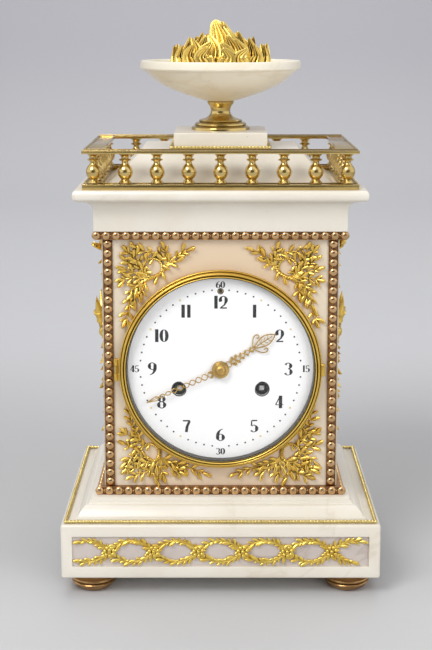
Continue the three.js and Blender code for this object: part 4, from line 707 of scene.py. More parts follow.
@dataclass(frozen=True)
class ClearGlass:
    """Thin blown glass, clearest face on and brighter towards its edge."""

    name: str
    tint: Colour
    film: Colour

    def build(self) -> bpy.types.Material:
        """Make the material.

        Returns:
            The material.
        """
        graph = ShaderGraph(self.name)
        at = graph.place()
        ripple = graph.noise(at, 18.0, 2.0)
        dust = graph.noise(at, 300.0, 2.0).between(0.7, 0.85)
        edge = graph.node("ShaderNodeFresnel", {}, {"IOR": 1.45})
        return graph.surface(
            Base_Color=graph.mix(dust, self.tint, self.film), Roughness=0.03 + dust * 0.1, IOR=1.45,
            Alpha=0.008 + edge * 0.22 + dust * 0.008, Normal=graph.bump(ripple, 0.04, 0.001),
        )


@dataclass(frozen=True)
class Paper:
    """The studio's seamless paper, with a slow change of tone by place that paints light and shade: painted
    shade on the floor round the clock and up the wall, and painted light far off, where the lamps hardly
    reach.
    """

    name: str
    near: Colour
    middle: Colour
    rear: Colour
    wall: Colour
    far: Colour

    def build(self) -> bpy.types.Material:
        """Make the material.

        Returns:
            The material.
        """
        graph = ShaderGraph(self.name)
        at = graph.place()
        depth = graph.axis(at, 1)
        height = graph.axis(at, 2)
        fibre = graph.noise(at, 900.0, 2.0)
        # Painted shade: the floor is darker round the clock than in front of it and further back.
        floor = graph.mix(depth.between(-0.13, 0.0), self.near, self.middle)
        floor = graph.mix(depth.between(0.12, 0.75), floor, self.rear)
        # Painted shade: darker up the wall than on the floor behind the clock.
        tone = graph.mix(height.between(0.0, 0.4), floor, self.wall)
        # Painted light: far to the sides and far in front the paper turns nearly white, where the lamps
        # hardly reach.
        aside = abs(graph.axis(at, 0)).between(1.5, 4.5)
        ahead = (-1.0 * depth).between(1.8, 4.5)
        tone = graph.mix(aside + ahead - aside * ahead, tone, self.far)
        return graph.surface(
            Base_Color=tone, Roughness=0.85 + fibre * 0.1, Specular_IOR_Level=0.1,
            Normal=graph.bump(fibre, 0.05, 0.0002),
        )


class Finish(Enum):
    """Every finish of the object, by the look that it has."""

    MARBLE = Marble("white_marble", srgb(238, 232, 220), srgb(230, 222, 206), srgb(196, 178, 150), 0.25)
    # Painted light: the bowl's marble is paler than the rest of the stone, standing in for light on its
    # underside.
    BOWL = Marble("bowl_marble_painted_light", srgb(248, 240, 222), srgb(243, 232, 208), srgb(208, 188, 152), 0.3)
    BLUSH = Marble(
        "blush_marble", srgb(228, 206, 177), srgb(220, 195, 162), srgb(192, 160, 124), 0.4,
        pale=srgb(230, 217, 195),
    )
    GROUND = Marble("frieze_ground", srgb(212, 201, 194), srgb(198, 186, 178), srgb(166, 150, 138), 0.4)
    # Each metal's third colour is its hollow colour: patina and painted shade.
    GILT = Metal("gilt", srgb(250, 214, 112), srgb(226, 182, 72), srgb(64, 38, 6), 0.22, 0.003, 0.95)
    FLAME = Metal("flame_gilt", srgb(252, 224, 128), srgb(242, 204, 100), srgb(84, 44, 4), 0.3, 0.003, 0.96)
    DOOR_BRASS = Metal(
        "spun_brass", srgb(222, 190, 114), srgb(212, 178, 100), srgb(72, 50, 18), 0.3,
        grain=900.0, relief=0.06,
    )
    FRIEZE_GILT = Metal(
        "frieze_gilt", srgb(250, 220, 112), srgb(230, 190, 82), srgb(96, 68, 16), 0.3, 0.002, 0.85
    )
    BEZEL_GILT = Metal(
        "bezel_gilt", srgb(242, 206, 104), srgb(220, 178, 78), srgb(84, 56, 14), 0.28,
        0.0014, 0.9, 900.0, 0.06,
    )
    HAND = Metal(
        "hand_gilt", srgb(222, 184, 100), srgb(188, 148, 70), srgb(70, 46, 14), 0.25,
        0.0014, 0.9, 900.0, 0.06,
    )
    BRASS = Metal(
        "polished_brass", srgb(220, 194, 128), srgb(190, 160, 92), srgb(66, 46, 18), 0.13,
        grain=900.0, relief=0.1,
    )
    ROPE = Metal("rope_brass", srgb(230, 208, 138), srgb(196, 172, 100), srgb(48, 36, 12), 0.22, 0.002, 0.98)
    BEAD = Metal(
        "bead_bronze", srgb(218, 180, 132), srgb(188, 150, 104), srgb(72, 44, 22), 0.14,
        0.0024, 0.92, 900.0, 0.08,
    )
    BACKING = Metal("bead_backing", srgb(164, 128, 92), srgb(138, 104, 72), srgb(60, 38, 20), 0.36)
    BRONZE = Metal("foot_bronze", srgb(188, 148, 98), srgb(148, 110, 68), srgb(44, 30, 18), 0.18)
    STEEL = Metal("blued_steel", srgb(196, 198, 202), srgb(164, 166, 172), srgb(52, 52, 56), 0.28)
    WORN_STEEL = Metal("worn_steel", srgb(226, 226, 226), srgb(196, 196, 196), srgb(70, 70, 72), 0.55)
    BELL = Metal("bell_metal", srgb(196, 182, 158), srgb(172, 154, 126), srgb(84, 72, 54), 0.24)
    ENAMEL = Enamel("white_enamel", srgb(254, 254, 254), srgb(250, 251, 252), srgb(206, 206, 202))
    INK = Print("black_print", srgb(18, 18, 22), srgb(52, 52, 60))
    GOLD_PRINT = Print("gold_print", srgb(224, 202, 142), srgb(238, 222, 178))
    # Painted shade: near-black for the holes in the dial and what shows through them.
    DARK = Print("painted_hole_shade", srgb(16, 15, 14), srgb(34, 31, 28), 0.6)
    SHADE = Print("sight_shade", srgb(58, 56, 48), srgb(92, 88, 76), 0.3)
    GLASS = ClearGlass("clear_glass", srgb(250, 252, 252), srgb(230, 232, 232))
    PAPER = Paper(
        "studio_paper", srgb(205, 205, 206), srgb(190, 190, 191), srgb(208, 208, 210), srgb(195, 194, 199),
        srgb(246, 246, 248),
    )


@dataclass
class Workshop:
    """Turns forms into pieces that ride on the frame's bodies."""

    made: dict[Finish, bpy.types.Material] = field(default_factory=dict)

    def material(self, finish: Finish) -> bpy.types.Material:
        """Give a finish's material, which is made once.

        Args:
            finish: The finish.

        Returns:
            Its material.
        """
        if finish not in self.made:
            self.made[finish] = finish.value.build()
        return self.made[finish]

    def show(self, name: str, form: Form, finish: Finish, smooth: float = 35.0) -> bpy.types.Object:
        """Put a form into the scene.

        Args:
            name: The object's name.
            form: Its shape.
            finish: Its finish.
            smooth: The sharpest angle that is shaded round, in degrees.

        Returns:
            The object.
        """
        form.tidied()
        form.placed(Matrix.Scale(MILLIMETRE, 4))
        mesh = bpy.data.meshes.new(name)
        form.cage.to_mesh(mesh)
        form.cage.free()
        mesh.shade_smooth()
        mesh.set_sharp_from_angle(angle=math.radians(smooth))
        mesh.materials.append(self.material(finish))
        made = bpy.data.objects.new(name, mesh)
        bpy.context.scene.collection.objects.link(made)
        return made

    def piece(
        self, name: str, form: Form, finish: Finish, slot: str, body: str = "case",
        nodes: Sequence[str] = (), smooth: float = 35.0,
    ) -> bpy.types.Object:
        """Make a piece of the object.

        Args:
            name: The piece's name.
            form: Its shape.
            finish: Its finish.
            slot: The record's material slot for it; not used.
            body: The body that it rides on.
            nodes: The CAD nodes that it stands for.
            smooth: The sharpest angle that is shaded round, in degrees.

        Returns:
            The piece.
        """
        made = self.show(name, form, finish, smooth)
        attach(made, body)
        if nodes:
            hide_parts(*nodes)
        LOG.info("%s: %d faces on %s", name, len(made.data.polygons), body)
        return made

    def repaint(self, finish: Finish, *nodes: str) -> None:
        """Give CAD nodes that keep their shape a better finish.

        Args:
            finish: The finish.
            nodes: The nodes.
        """
        for node in nodes:
            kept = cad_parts[node]
            for place in kept.material_slots:
                place.material = self.material(finish)
            LOG.info("%s: %s", node, finish.value.name)


@dataclass
class Feet:
    """Four turned bun feet with ribbed rims."""

    workshop: Workshop
    names: tuple[str, ...] = ("foot_front_left", "foot_front_right", "foot_back_left", "foot_back_right")
    shape: Profile = (
        (0, 0), (0.66, 0), (0.74, 0.05), (0.82, 0.15), (0.88, 0.26), (0.9, 0.3), (0.95, 0.33), (0.97, 0.38),
        (0.95, 0.43), (0.91, 0.46), (0.94, 0.5), (0.99, 0.54), (1.0, 0.59), (0.98, 0.64), (0.93, 0.67),
        (0.88, 0.7), (0.82, 0.78), (0.79, 0.88), (0.79, 1.0), (0, 1.0),
    )

    def build(self) -> None:
        """Make the feet."""
        for name in self.names:
            span = Span.of(name)
            form = Form.lathed(self.shape, span.size.y / 2, span.size.z, 72).placed(span.foot)
            self.workshop.piece(name + "_turned", form, Finish.BRONZE, "bronze", nodes=[name])


@dataclass
class Stonework:
    """The base, the step, the cornice, the roof and the pedestal, cut from marble."""

    workshop: Workshop
    edge: float = 1.8
    recess_edge: float = 0.5
    frieze_margin: float = 8.6
    frieze_height: float = 23.6
    frieze_sink: float = 2.0
    roof_slope: float = 19.0
    roof_end_slope: float = 26.5
    roof_hollow: float = 1.4
    roof_foot: float = 1.6
    slab: Profile = ((5.0, 0.735), (2.6, 0.745), (0.6, 0.79), (0, 0.87), (0.3, 0.95), (1.4, 1))

    def base(self) -> None:
        """Make the base block with its sunk frieze panel."""
        span = Span.of("base_plinth")
        middle = span.centre.z
        form = Form.block(span.low, span.high, self.edge, 3)
        cage = form.cage
        face = min(cage.faces, key=lambda each: each.calc_center_median().y)
        bmesh.ops.inset_region(cage, faces=[face], thickness=1.0)
        half_width = span.size.x / 2 - self.frieze_margin
        for vert in face.verts:
            vert.co.x = math.copysign(half_width, vert.co.x)
            vert.co.z = middle + math.copysign(self.frieze_height / 2, vert.co.z - middle)
        sunk = bmesh.ops.extrude_discrete_faces(cage, faces=[face])["faces"]
        bmesh.ops.translate(cage, verts=sunk[0].verts[:], vec=(0, self.frieze_sink, 0))
        form.eased(self.recess_edge, 2, 60)
        self.workshop.piece("base_block", form, Finish.MARBLE, "marble", nodes=["base_plinth"])
        reach = self.frieze_height / 2 - 0.3
        floor = span.low.y + self.frieze_sink
        low = (-half_width + 0.3, floor - 0.15, middle - reach)
        panel = Form.block(low, (half_width - 0.3, floor + 0.6, middle + reach))
        self.workshop.piece("frieze_ground", panel, Finish.GROUND, "blush_marble")

    def step(self) -> None:
        """Make the step moulding under the body."""
        span = Span.of("base_step")
        deep = span.size.y / 2
        tall = span.size.z
        profile = [(0, 0), (deep, 0), (deep, tall * 0.13)]
        run = 11.5
        for share in (0.0, 0.15, 0.3, 0.45, 0.6, 0.75, 0.9, 1.0):
            sweep = math.sin(share * math.pi / 2)
            profile.append((deep - 1.6 - (run - 4.2) * share, tall * (0.15 + 0.53 * sweep)))
        head = deep - run
        profile += [(head + 1.6, tall * 0.72), (head + 1.6, tall * 0.8), (head, tall * 0.84)]
        profile += [(head, tall), (0, tall)]
        form = Form.mitred(profile, span.stretch).eased(0.35, 2, 40)
        form.placed(span.foot)
        self.workshop.piece("step_moulding", form, Finish.MARBLE, "marble", nodes=["base_step"])

    def cornice(self) -> None:
        """Make the cornice over the body: a plain neck, a cove and an overhanging slab."""
        span = Span.of("cornice")
        neck = 14.0
        deep = span.size.y / 2
        tall = span.size.z
        profile = [(0, 0), (deep - neck, 0), (deep - neck, tall * 0.49)]
        for share in (0.15, 0.3, 0.45, 0.6, 0.75, 0.9):
            turn = share * math.pi / 2
            out = (neck - 5.5) * (1 - math.cos(turn))
            profile.append((deep - neck + out, tall * (0.49 + 0.23 * math.sin(turn))))
        profile += [(deep - inward, tall * up) for inward, up in self.slab]
        profile.append((0, tall))
        form = Form.mitred(profile, span.stretch).eased(0.3, 2, 40)
        form.placed(span.foot)
        self.workshop.piece("cornice_moulding", form, Finish.MARBLE, "marble", nodes=["cornice"])

    def roof(self) -> None:
        """Make the sloping roof block and the pedestal on it."""
        span = Span.of("roof_block")
        deep = span.size.y / 2
        tall = span.size.z
        profile = [(0, 0), (deep, 0), (deep, self.roof_foot)]
        for step in range(1, 12):
            share = step / 12
            inward = self.roof_slope * share + self.roof_hollow * math.sin(math.pi * share)
            profile.append((deep - inward, self.roof_foot + (tall - self.roof_foot) * share))
        profile += [(deep - self.roof_slope, tall), (0, tall)]
        head_stretch = span.stretch + self.roof_slope - self.roof_end_slope
        form = Form.mitred(profile, span.stretch, head_stretch).eased(0.5, 2, 30)
        form.placed(span.foot)
        self.workshop.piece("roof_slopes", form, Finish.MARBLE, "marble", nodes=["roof_block"])
        top = Span.of("pedestal_block")
        pedestal = Form.block(top.low, top.high, 0.9, 3)
        self.workshop.piece("pedestal", pedestal, Finish.MARBLE, "marble", nodes=["pedestal_block"])

    def panels(self) -> None:
        """Give the four body panels their stone."""
        self.workshop.repaint(Finish.BLUSH, "front_panel")
        self.workshop.repaint(Finish.MARBLE, "back_panel", "side_panel_left", "side_panel_right")

    def build(self) -> None:
        """Make all the stone."""
        self.base()
        self.step()
        self.cornice()
        self.roof()
        self.panels()


@dataclass
class Ropes:
    """Twisted wire borders round the base and the pedestal."""

    workshop: Workshop
    strands: int = 2
    lay: float = 5.2
    steps_per_turn: int = 8
    core: float = 0.6
    strand_out: float = 0.54
    strand_radius: float = 0.45
    knot: float = 0.95

    def border(self, node: str) -> None:
        """Make one border.

        Args:
            node: The CAD node that it stands for.
        """
        span = Span.of(node)
        radius = span.size.z / 2
        x = span.size.x / 2 - radius
        y = span.size.y / 2 - radius
        z = span.centre.z
        corners = [Vector((-x, -y, z)), Vector((x, -y, z)), Vector((x, y, z)), Vector((-x, y, z))]
        form = Form()
        for start, end in zip(corners, corners[1:] + corners[:1]):
            upward = Vector((0, 0, 1))
            aside = (end - start).normalized().cross(upward)
            turns = round((end - start).length / self.lay)
            steps = turns * self.steps_per_turn
            form.add(Form.swept([start, end], lambda share: radius * self.core, up=upward))
            for strand in range(self.strands):
                path = []
                for index in range(steps + 1):
                    angle = math.tau * (turns * index / steps + strand / self.strands)
                    swing = upward * math.cos(angle) + aside * math.sin(angle)
                    path.append(start.lerp(end, index / steps) + swing * radius * self.strand_out)
                form.add(Form.swept(path, lambda share: radius * self.strand_radius, sides=6, up=upward))
        form.add(Form.ball(radius * self.knot), *[Matrix.Translation(corner) for corner in corners])
        self.workshop.piece(node + "_twisted", form, Finish.ROPE, "brass", nodes=[node], smooth=60)

    def build(self) -> None:
        """Make both borders."""
        self.border("base_rope")
        self.border("pedestal_rope")


@dataclass
class BeadFrame:
    """Beaded bands round the body and beaded strips down its front."""

    workshop: Workshop
    across: int = 26
    along_side: int = 18
    down: int = 27
    bead: float = 3.4
    strip_bead: float = 3.3
    flatness: float = 0.72
    link: float = 0.9
    rim: float = 3.4
    lip_height: float = 0.9
    lip_depth: float = 0.7

    def band(self, node: str) -> None:
        """Make one beaded band round the body.

        Args:
            node: The CAD node that it stands for.
        """
        span = Span.of(node)
        body = Span.of("front_panel", "back_panel", "side_panel_left", "side_panel_right")
        z = span.centre.z
        half = span.size.z / 2
        low = body.low.xy
        high = body.high.xy
        rim = self.rim
        backing = Form()
        bars = [
            ((low.x - rim, low.y - rim), (high.x + rim, low.y)),
            ((low.x - rim, high.y), (high.x + rim, high.y + rim)),
            ((low.x - rim, low.y), (low.x, high.y)),
            ((high.x, low.y), (high.x + rim, high.y)),
        ]
        for start, end in bars:
            backing.add(Form.block((*start, z - half), (*end, z + half), 0.4))
            if end[0] - start[0] > end[1] - start[1]:
                front = start[1] if start[1] < 0 else end[1]
                near, far = sorted((front, front + math.copysign(self.lip_depth, front)))
                for lip in (z - half, z + half):
                    foot, head = sorted((lip, lip + math.copysign(self.lip_height, z - lip)))
                    backing.add(Form.block((start[0], near, foot), (end[0], far, head), 0.25))
        self.workshop.piece(node + "_backing", backing, Finish.BACKING, "bronze", nodes=[node])
        beads = Form()
        dome = Form.ball(self.bead, 18, 10)
        out = rim + 0.2
        xs = evenly(self.across, (high.x - low.x) / 2 + out)
        ys = evenly(self.along_side, (high.y - low.y) / 2 + out)[1:-1]
        fronts = [(x, y) for y in (low.y - out, high.y + out) for x in xs]
        flanks = [(x, y) for x in (low.x - out, high.x + out) for y in ys]
        flat = Matrix.Diagonal((1, self.flatness, 1, 1))
        beads.add(dome, *[moved(x, y, z) @ flat for x, y in fronts])
        flat = Matrix.Diagonal((self.flatness, 1, 1, 1))
        beads.add(dome, *[moved(x, y, z) @ flat for x, y in flanks])
        middles = [(first + second) / 2 for first, second in zip(xs, xs[1:])]
        links = [(x, y) for x in middles for y in (low.y - out, high.y + out)]
        beads.add(Form.ball(self.link, 8, 6), *[moved(x, y, z) for x, y in links])
        self.workshop.piece(node + "_beads", beads, Finish.BEAD, "bronze")

    def strip(self, side: Side) -> None:
        """Make one beaded strip.

        Args:
            side: Which side of the front.
        """
        node = f"bead_strip_{side.word}"
        span = Span.of(node)
        back = span.high.y
        foot = span.low.z
        head = span.high.z
        backing = Form.block((span.low.x, back - 1.1, foot), (span.high.x, back, head), 0.3)
        for x in (span.low.x, span.high.x - 0.5):
            backing.add(Form.block((x, back - 1.6, foot), (x + 0.5, back, head), 0.15))
        self.workshop.piece(node + "_backing", backing, Finish.BACKING, "bronze", nodes=[node])
        heights = evenly(self.down, span.size.z / 2 - self.strip_bead - 0.3)
        beads = Form()
        flat = Matrix.Diagonal((1, self.flatness, 1, 1))
        places = [moved(span.centre.x, back - 1.2, span.centre.z + z) @ flat for z in heights]
        beads.add(Form.ball(self.strip_bead, 18, 10), *places)
        self.workshop.piece(node + "_beads", beads, Finish.BEAD, "bronze")

    def build(self) -> None:
        """Make the bands and the strips."""
        self.band("bead_band_foot")
        self.band("bead_band_head")
        for side in Side:
            self.strip(side)


@dataclass
class Gallery:
    """The brass balustrade: two rails a side, with turned balusters between them."""

    workshop: Workshop
    lower_width: float = 13.0
    lower_height: float = 4.1
    top_width: float = 14.5
    top_height: float = 2.5
    inset: float = 8.0
    front_count: int = 9
    side_count: int = 5
    fillet: float = 1.6
    fillet_rise: float = 0.5
    post: Profile = (
        (0, 0), (4.8, 0), (4.8, 0.03), (4.3, 0.05), (4.0, 0.08), (3.3, 0.1), (3.0, 0.125), (3.2, 0.15),
        (4.2, 0.19), (5.0, 0.25), (5.5, 0.32), (5.6, 0.38), (5.4, 0.45), (4.8, 0.52), (3.9, 0.58),
        (2.9, 0.63), (2.5, 0.67), (2.4, 0.72), (2.7, 0.745), (4.1, 0.76), (4.5, 0.785), (4.1, 0.81),
        (2.9, 0.825), (2.8, 0.86), (3.2, 0.9), (3.9, 0.94), (4.7, 0.97), (4.8, 1.0), (0, 1.0),
    )

    def rail(self, low: Vector, high: Vector, cross: int) -> Form:
        """Make a rail with a raised fillet along its two edges.

        Args:
            low: The rail's lowest corner.
            high: The rail's highest corner.
            cross: The axis that the rail is narrow along.

        Returns:
            The rail.
        """
        form = Form.block(low, high - Vector((0, 0, self.fillet_rise)), 0.25)
        for near in (low[cross], high[cross] - self.fillet):
            start = low.copy()
            end = high.copy()
            start[cross] = near
            end[cross] = near + self.fillet
            start.z = high.z - self.fillet_rise - 0.2
            form.add(Form.block(start, end, 0.2))
        return form

    def run(self, node: str, places: Iterable[tuple[float, float]], inner: float) -> None:
        """Make one side of the gallery.

        Args:
            node: The CAD node that it stands for.
            places: Where its balusters stand.
            inner: How much further the lower rail reaches at each end than the top rail.
        """
        span = Span.of(node)
        along = 0 if span.size.x > span.size.y else 1
        cross = 1 - along
        sign = 1 if span.centre[cross] > 0 else -1
        outer = span.high[cross] if sign > 0 else span.low[cross]
        foot = span.low.z + self.lower_height
        head = span.high.z - self.top_height
        form = Form()
        rails = ((self.lower_width, span.low.z, foot, 0.0), (self.top_width, head, span.high.z, inner))
        for width, bottom, top, short in rails:
            start = Vector((0.0, 0.0, bottom))
            end = Vector((0.0, 0.0, top))
            start[along] = span.low[along] + short
            end[along] = span.high[along] - short
            start[cross], end[cross] = sorted((outer, outer - sign * width))
            form.add(self.rail(start, end, cross))
        post = Form.lathed(self.post, 1.0, head - foot, 28)
        form.add(post, *[moved(x, y, foot) for x, y in places])
        self.workshop.piece(node + "_turned", form, Finish.BRASS, "brass", nodes=[node])

    def build(self) -> None:
        """Make the four sides."""
        whole = Span.of("gallery_front", "gallery_back", "gallery_left", "gallery_right")
        x = whole.size.x / 2 - self.inset
        y = whole.size.y / 2 - self.inset
        across = evenly(self.front_count, x)
        along = evenly(self.side_count + 2, y)[1:-1]
        self.run("gallery_front", [(each, -y) for each in across], 0.0)
        self.run("gallery_back", [(each, y) for each in across], 0.0)
        inner = self.top_width - self.lower_width
        self.run("gallery_left", [(-x, each) for each in along], inner)
        self.run("gallery_right", [(x, each) for each in along], inner)


@dataclass
class Urn:
    """The brass spool foot, the marble bowl and the gilt flame on top.

    Each ring of the flame gives its tongues' count, root, tip, height and width. Each crest gives its place
    round the flame in degrees, root, tip, height, width and sway. Roots, tips and heights are shares.
    """

    workshop: Workshop
    seed: int = 7
    band: float = 7.1
    lip: Profile = ((0, 1.2), (0.4, 0.35), (1.2, 0), (4.4, 0), (5.2, 0.5), (6.4, 2.4), (9.0, 3.0))
    spool: Profile = (
        (0, 0), (1.0, 0), (1.0, 0.05), (0.985, 0.09), (0.94, 0.12), (0.88, 0.13), (0.86, 0.15),
        (0.88, 0.18), (0.87, 0.22), (0.82, 0.25), (0.74, 0.26), (0.72, 0.28), (0.74, 0.31),
        (0.72, 0.34), (0.66, 0.36), (0.54, 0.39), (0.43, 0.45), (0.36, 0.53), (0.33, 0.62),
        (0.34, 0.72), (0.38, 0.82), (0.44, 0.9), (0.46, 0.95), (0.44, 1.0), (0, 1.0),
    )
    rings: tuple[tuple[int, float, float, float, float], ...] = (
        (16, 0.86, 0.94, 0.49, 6.0),
        (12, 0.69, 0.65, 0.66, 6.8),
        (8, 0.5, 0.4, 0.76, 7.2),
    )
    crests: tuple[tuple[float, float, float, float, float, float], ...] = (
        (262, 0.12, 0.1, 0.985, 17.5, 3.6),
        (318, 0.26, 0.12, 0.95, 11.0, 3.4),
        (95, 0.2, 0.14, 0.9, 13.0, 4.0),
    )

    def foot(self) -> None:
        """Turn the spool foot."""
        span = Span.of("urn_foot")
        form = Form.lathed(self.spool, span.size.x / 2, span.size.z, 80).placed(span.foot)
        self.workshop.piece("urn_spool", form, Finish.BRASS, "brass", nodes=["urn_foot"])

    def bowl(self) -> None:
        """Turn the shallow bowl."""
        span = Span.of("urn_bowl")
        radius = span.size.x / 2
        height = span.size.z
        profile = [(0, 0), (10.0, 0), (12.5, 0.35)]
        under = height - self.band - 1.0
        for step in range(1, 15):
            share = step / 14
            swell = share + 0.2 * math.sin(math.pi * share) * (1 - 0.3 * share)
            profile.append((12.5 + (radius - 15.9) * swell, 0.35 + under * share))
        edge = height - self.band
        profile += [(radius - 3.2, edge), (radius - 0.8, edge + 0.4), (radius, edge + 1.4)]
        profile += [(radius - inward, height - down) for inward, down in self.lip]
        profile.append((0, height - 3.0))
        form = Form.turned(profile, 112).placed(span.foot)
        # The bowl takes the paler marble, which is painted light.
        self.workshop.piece("urn_dish", form, Finish.BOWL, "marble", nodes=["urn_bowl"])

    def tongue(
        self, angle: float, start: float, reach: float, height: float, width: float, sway: float,
        flatness: float = 0.6,
    ) -> Form:
        """Make one ridged tongue of the flame.

        Args:
            angle: Where round the flame it stands.
            start: How far from the middle its root is.
            reach: How far from the middle its tip is.
            height: How high its tip is.
            width: The half width of its root.
            sway: How far it bends sideways on the way.
            flatness: Its thickness over its width.

        Returns:
            The tongue over the origin.
        """
        outward = Vector((math.cos(angle), math.sin(angle), 0))
        across = Vector((-math.sin(angle), math.cos(angle), 0))
        path = []
        steps = 18
        for index in range(steps + 1):
            share = index / steps
            out = start + (reach - start) * share
            bend = sway * math.sin(share * math.pi * 1.5) * (0.2 + 0.8 * share)
            path.append(outward * out + across * bend + Vector((0, 0, height * share)))

        def girth(share: float) -> float:
            """Bulge at the root, draw in hollow and end in a blunt tip."""
            hollow = 0.5 + 0.5 * math.cos(math.pi * share)
            return width * (0.68 * hollow + 0.32 * (1 - share ** 6) ** 0.5)

        lobes = round(4 + 0.8 * width)
        return Form.swept(path, girth, 8 * lobes, flatness, 0.0, lobes, 2.5 / lobes, outward)

    def flame(self) -> None:
        """Gather the tongues of the flame round its crests."""
        span = Span.of("flame_finial")
        radius = span.size.x / 2
        height = span.size.z
        chance = random.Random(self.seed)
        spine = [Vector((0, 0, 0.42 * height * step / 12)) for step in range(13)]

        def heart(share: float) -> float:
            """Draw the fluted middle in towards its top."""
            return radius * (0.82 - 0.66 * share)

        form = Form.swept(spine, heart, 156, 1.0, 0.1, 26, 0.09)
        for count, root, tip, tall, width in self.rings:
            for index in range(count):
                angle = math.tau * (index + chance.uniform(-0.2, 0.2)) / count + root
                start = radius * root
                reach = radius * tip * chance.uniform(0.95, 1.0)
                front = max(0.0, -math.sin(angle)) ** 4
                rise = height * tall * chance.uniform(0.82, 1.0) * (1 - 0.15 * front)
                inward = math.copysign(1, -math.cos(angle) * math.sin(angle))
                sway = inward * chance.choice((-1, 1, 1, 1)) * chance.uniform(3.0, 4.6)
                form.add(self.tongue(angle, start, reach, rise, width * chance.uniform(0.9, 1.05), sway))
        for degrees, root, tip, tall, width, sway in self.crests:
            angle = math.radians(degrees)
            form.add(self.tongue(angle, radius * root, radius * tip, height * tall, width, sway, 0.66))
        form.placed(span.foot)
        self.workshop.piece("flame", form, Finish.FLAME, "gilt", nodes=["flame_finial"], smooth=60)

    def build(self) -> None:
        """Make the urn."""
        self.foot()
        self.bowl()
        self.flame()


def smooth_path(points: Profile, per_span: int = 6) -> list[Vector]:
    """Draw a smooth curve through points.

    Args:
        points: The points, two at least.
        per_span: How many steps each span takes.

    Returns:
        The points along the curve, flat.
    """
    knots = [Vector(point) for point in points]
    path = [knots[0]]
    for index in range(len(knots) - 1):
        before = knots[max(index - 1, 0)]
        start = knots[index]
        end = knots[index + 1]
        after = knots[min(index + 2, len(knots) - 1)]
        for step in range(1, per_span + 1):
            share = step / per_span
            bend = (2 * before - 5 * start + 4 * end - after) * share ** 2
            twist = (3 * start - before - 3 * end + after) * share ** 3
            path.append((2 * start + (end - before) * share + bend + twist) / 2)
    return path


@dataclass
class Foliage:
    """Gilt stems and leaves in relief on an upright face that looks out of the front."""

    face: float
    seed: int
    stem_lift: float = 0.7
    leaf_tilt: float = 12.0
    floor: float = -math.inf
    ceiling: float = math.inf
    stems: Form = field(default_factory=Form)
    leaves: list[Matrix] = field(default_factory=list)
    berries: list[Matrix] = field(default_factory=list)

    def __post_init__(self) -> None:
        """Seed the chance that varies the leaves."""
        self.chance = random.Random(self.seed)

    def leaf(self, x: float, z: float, angle: float, length: float, steeper: float = 1.0) -> None:
        """Lay one leaf.

        Args:
            x: Where its stalk is, across.
            z: Where its stalk is, upward.
            angle: Where it points, in radians from X towards Z.
            length: How long it is.
            steeper: How many times more than the others it stands off the face.
        """
        climb = math.sin(angle)
        room = (self.ceiling - z if climb > 0 else z - self.floor) / max(abs(climb), WELD)
        length = min(length, max(room, 4.2))
        tilt = math.radians(self.leaf_tilt * self.chance.uniform(0.4, 1.3) * steeper)
        lift = self.stem_lift * self.chance.uniform(0.6, 1.6)
        level = math.cos(tilt)
        along = Vector((math.cos(angle) * level, -math.sin(tilt), math.sin(angle) * level))
        out = Vector((0, -1, 0))
        out = (out - along * out.dot(along)).normalized()
        roll = Matrix.Rotation(self.chance.uniform(-0.35, 0.35), 4, "X")
        axes = Matrix((along, out.cross(along), out)).transposed().to_4x4()
        self.leaves.append(moved(x, self.face - lift, z) @ axes @ roll @ Matrix.Scale(length, 4))

    def lifted(self, path: Sequence[Vector]) -> list[Vector]:
        """Bring a flat path onto the face."""
        return [Vector((point.x, self.face - self.stem_lift, point.y)) for point in path]

    def rod(self, points: Profile, thick: float, taper: float = 0.5) -> list[Vector]:
        """Lay one bare stem.

        Args:
            points: The points that it passes through.
            thick: Its radius at the root.
            taper: How much of that it loses by its tip.

        Returns:
            The flat path that it follows.
        """
        path = smooth_path(points)
        self.stems.add(Form.swept(self.lifted(path), lambda share: thick * (1 - taper * share), sides=7))
        return path

    def branch(self, points: Profile, thick: float, length: float, gap: float, spread: float = 0.8) -> None:
        """Lay a stem with leaves on both sides of it and one at its tip.

        Args:
            points: The points that it passes through.
            thick: Its radius at the root.
            length: How long its leaves are.
            gap: How far apart they stand along it.
            spread: How far they turn off it, in radians.
        """
        path = self.rod(points, thick)
        travelled = gap * 0.5
        hand = 1
        for start, end in zip(path, path[1:]):
            step = end - start
            travelled += step.length
            if travelled < gap:
                continue
            travelled = 0.0
            heading = math.atan2(step.y, step.x)
            for sign in (hand, -hand):
                size = length * self.chance.uniform(0.72, 1.08) * (1.0 if sign == hand else 0.8)
                self.leaf(end.x, end.y, heading + sign * spread * self.chance.uniform(0.6, 1.25), size)
            hand = -hand
        tip = path[-1] - path[-2]
        self.leaf(path[-1].x, path[-1].y, math.atan2(tip.y, tip.x), length)

    def tie(self, points: Profile, thick: float, turns: float) -> None:
        """Lay a bundle of stems bound by a ribbon that goes round so many times."""
        path = self.lifted(smooth_path(points, 12))
        self.stems.add(Form.swept(path, lambda share: thick, 16, turns=turns, lobes=2, lobe_depth=0.2))

    def berry(self, x: float, z: float, radius: float) -> None:
        """Set one berry on the face."""
        move = moved(x, self.face - self.stem_lift - radius * 0.4, z)
        self.berries.append(move @ Matrix.Scale(radius, 4))

    def gathered(self) -> Form:
        """Join the stems, leaves and berries.

        Returns:
            The whole relief.
        """
        whole = Form()
        whole.add(self.stems)
        if self.leaves:
            whole.add(Form.leaf(1.0, 0.4, 0.21, 0.1), *self.leaves)
        if self.berries:
            whole.add(Form.ball(1.0, 10, 6), *self.berries)
        return whole


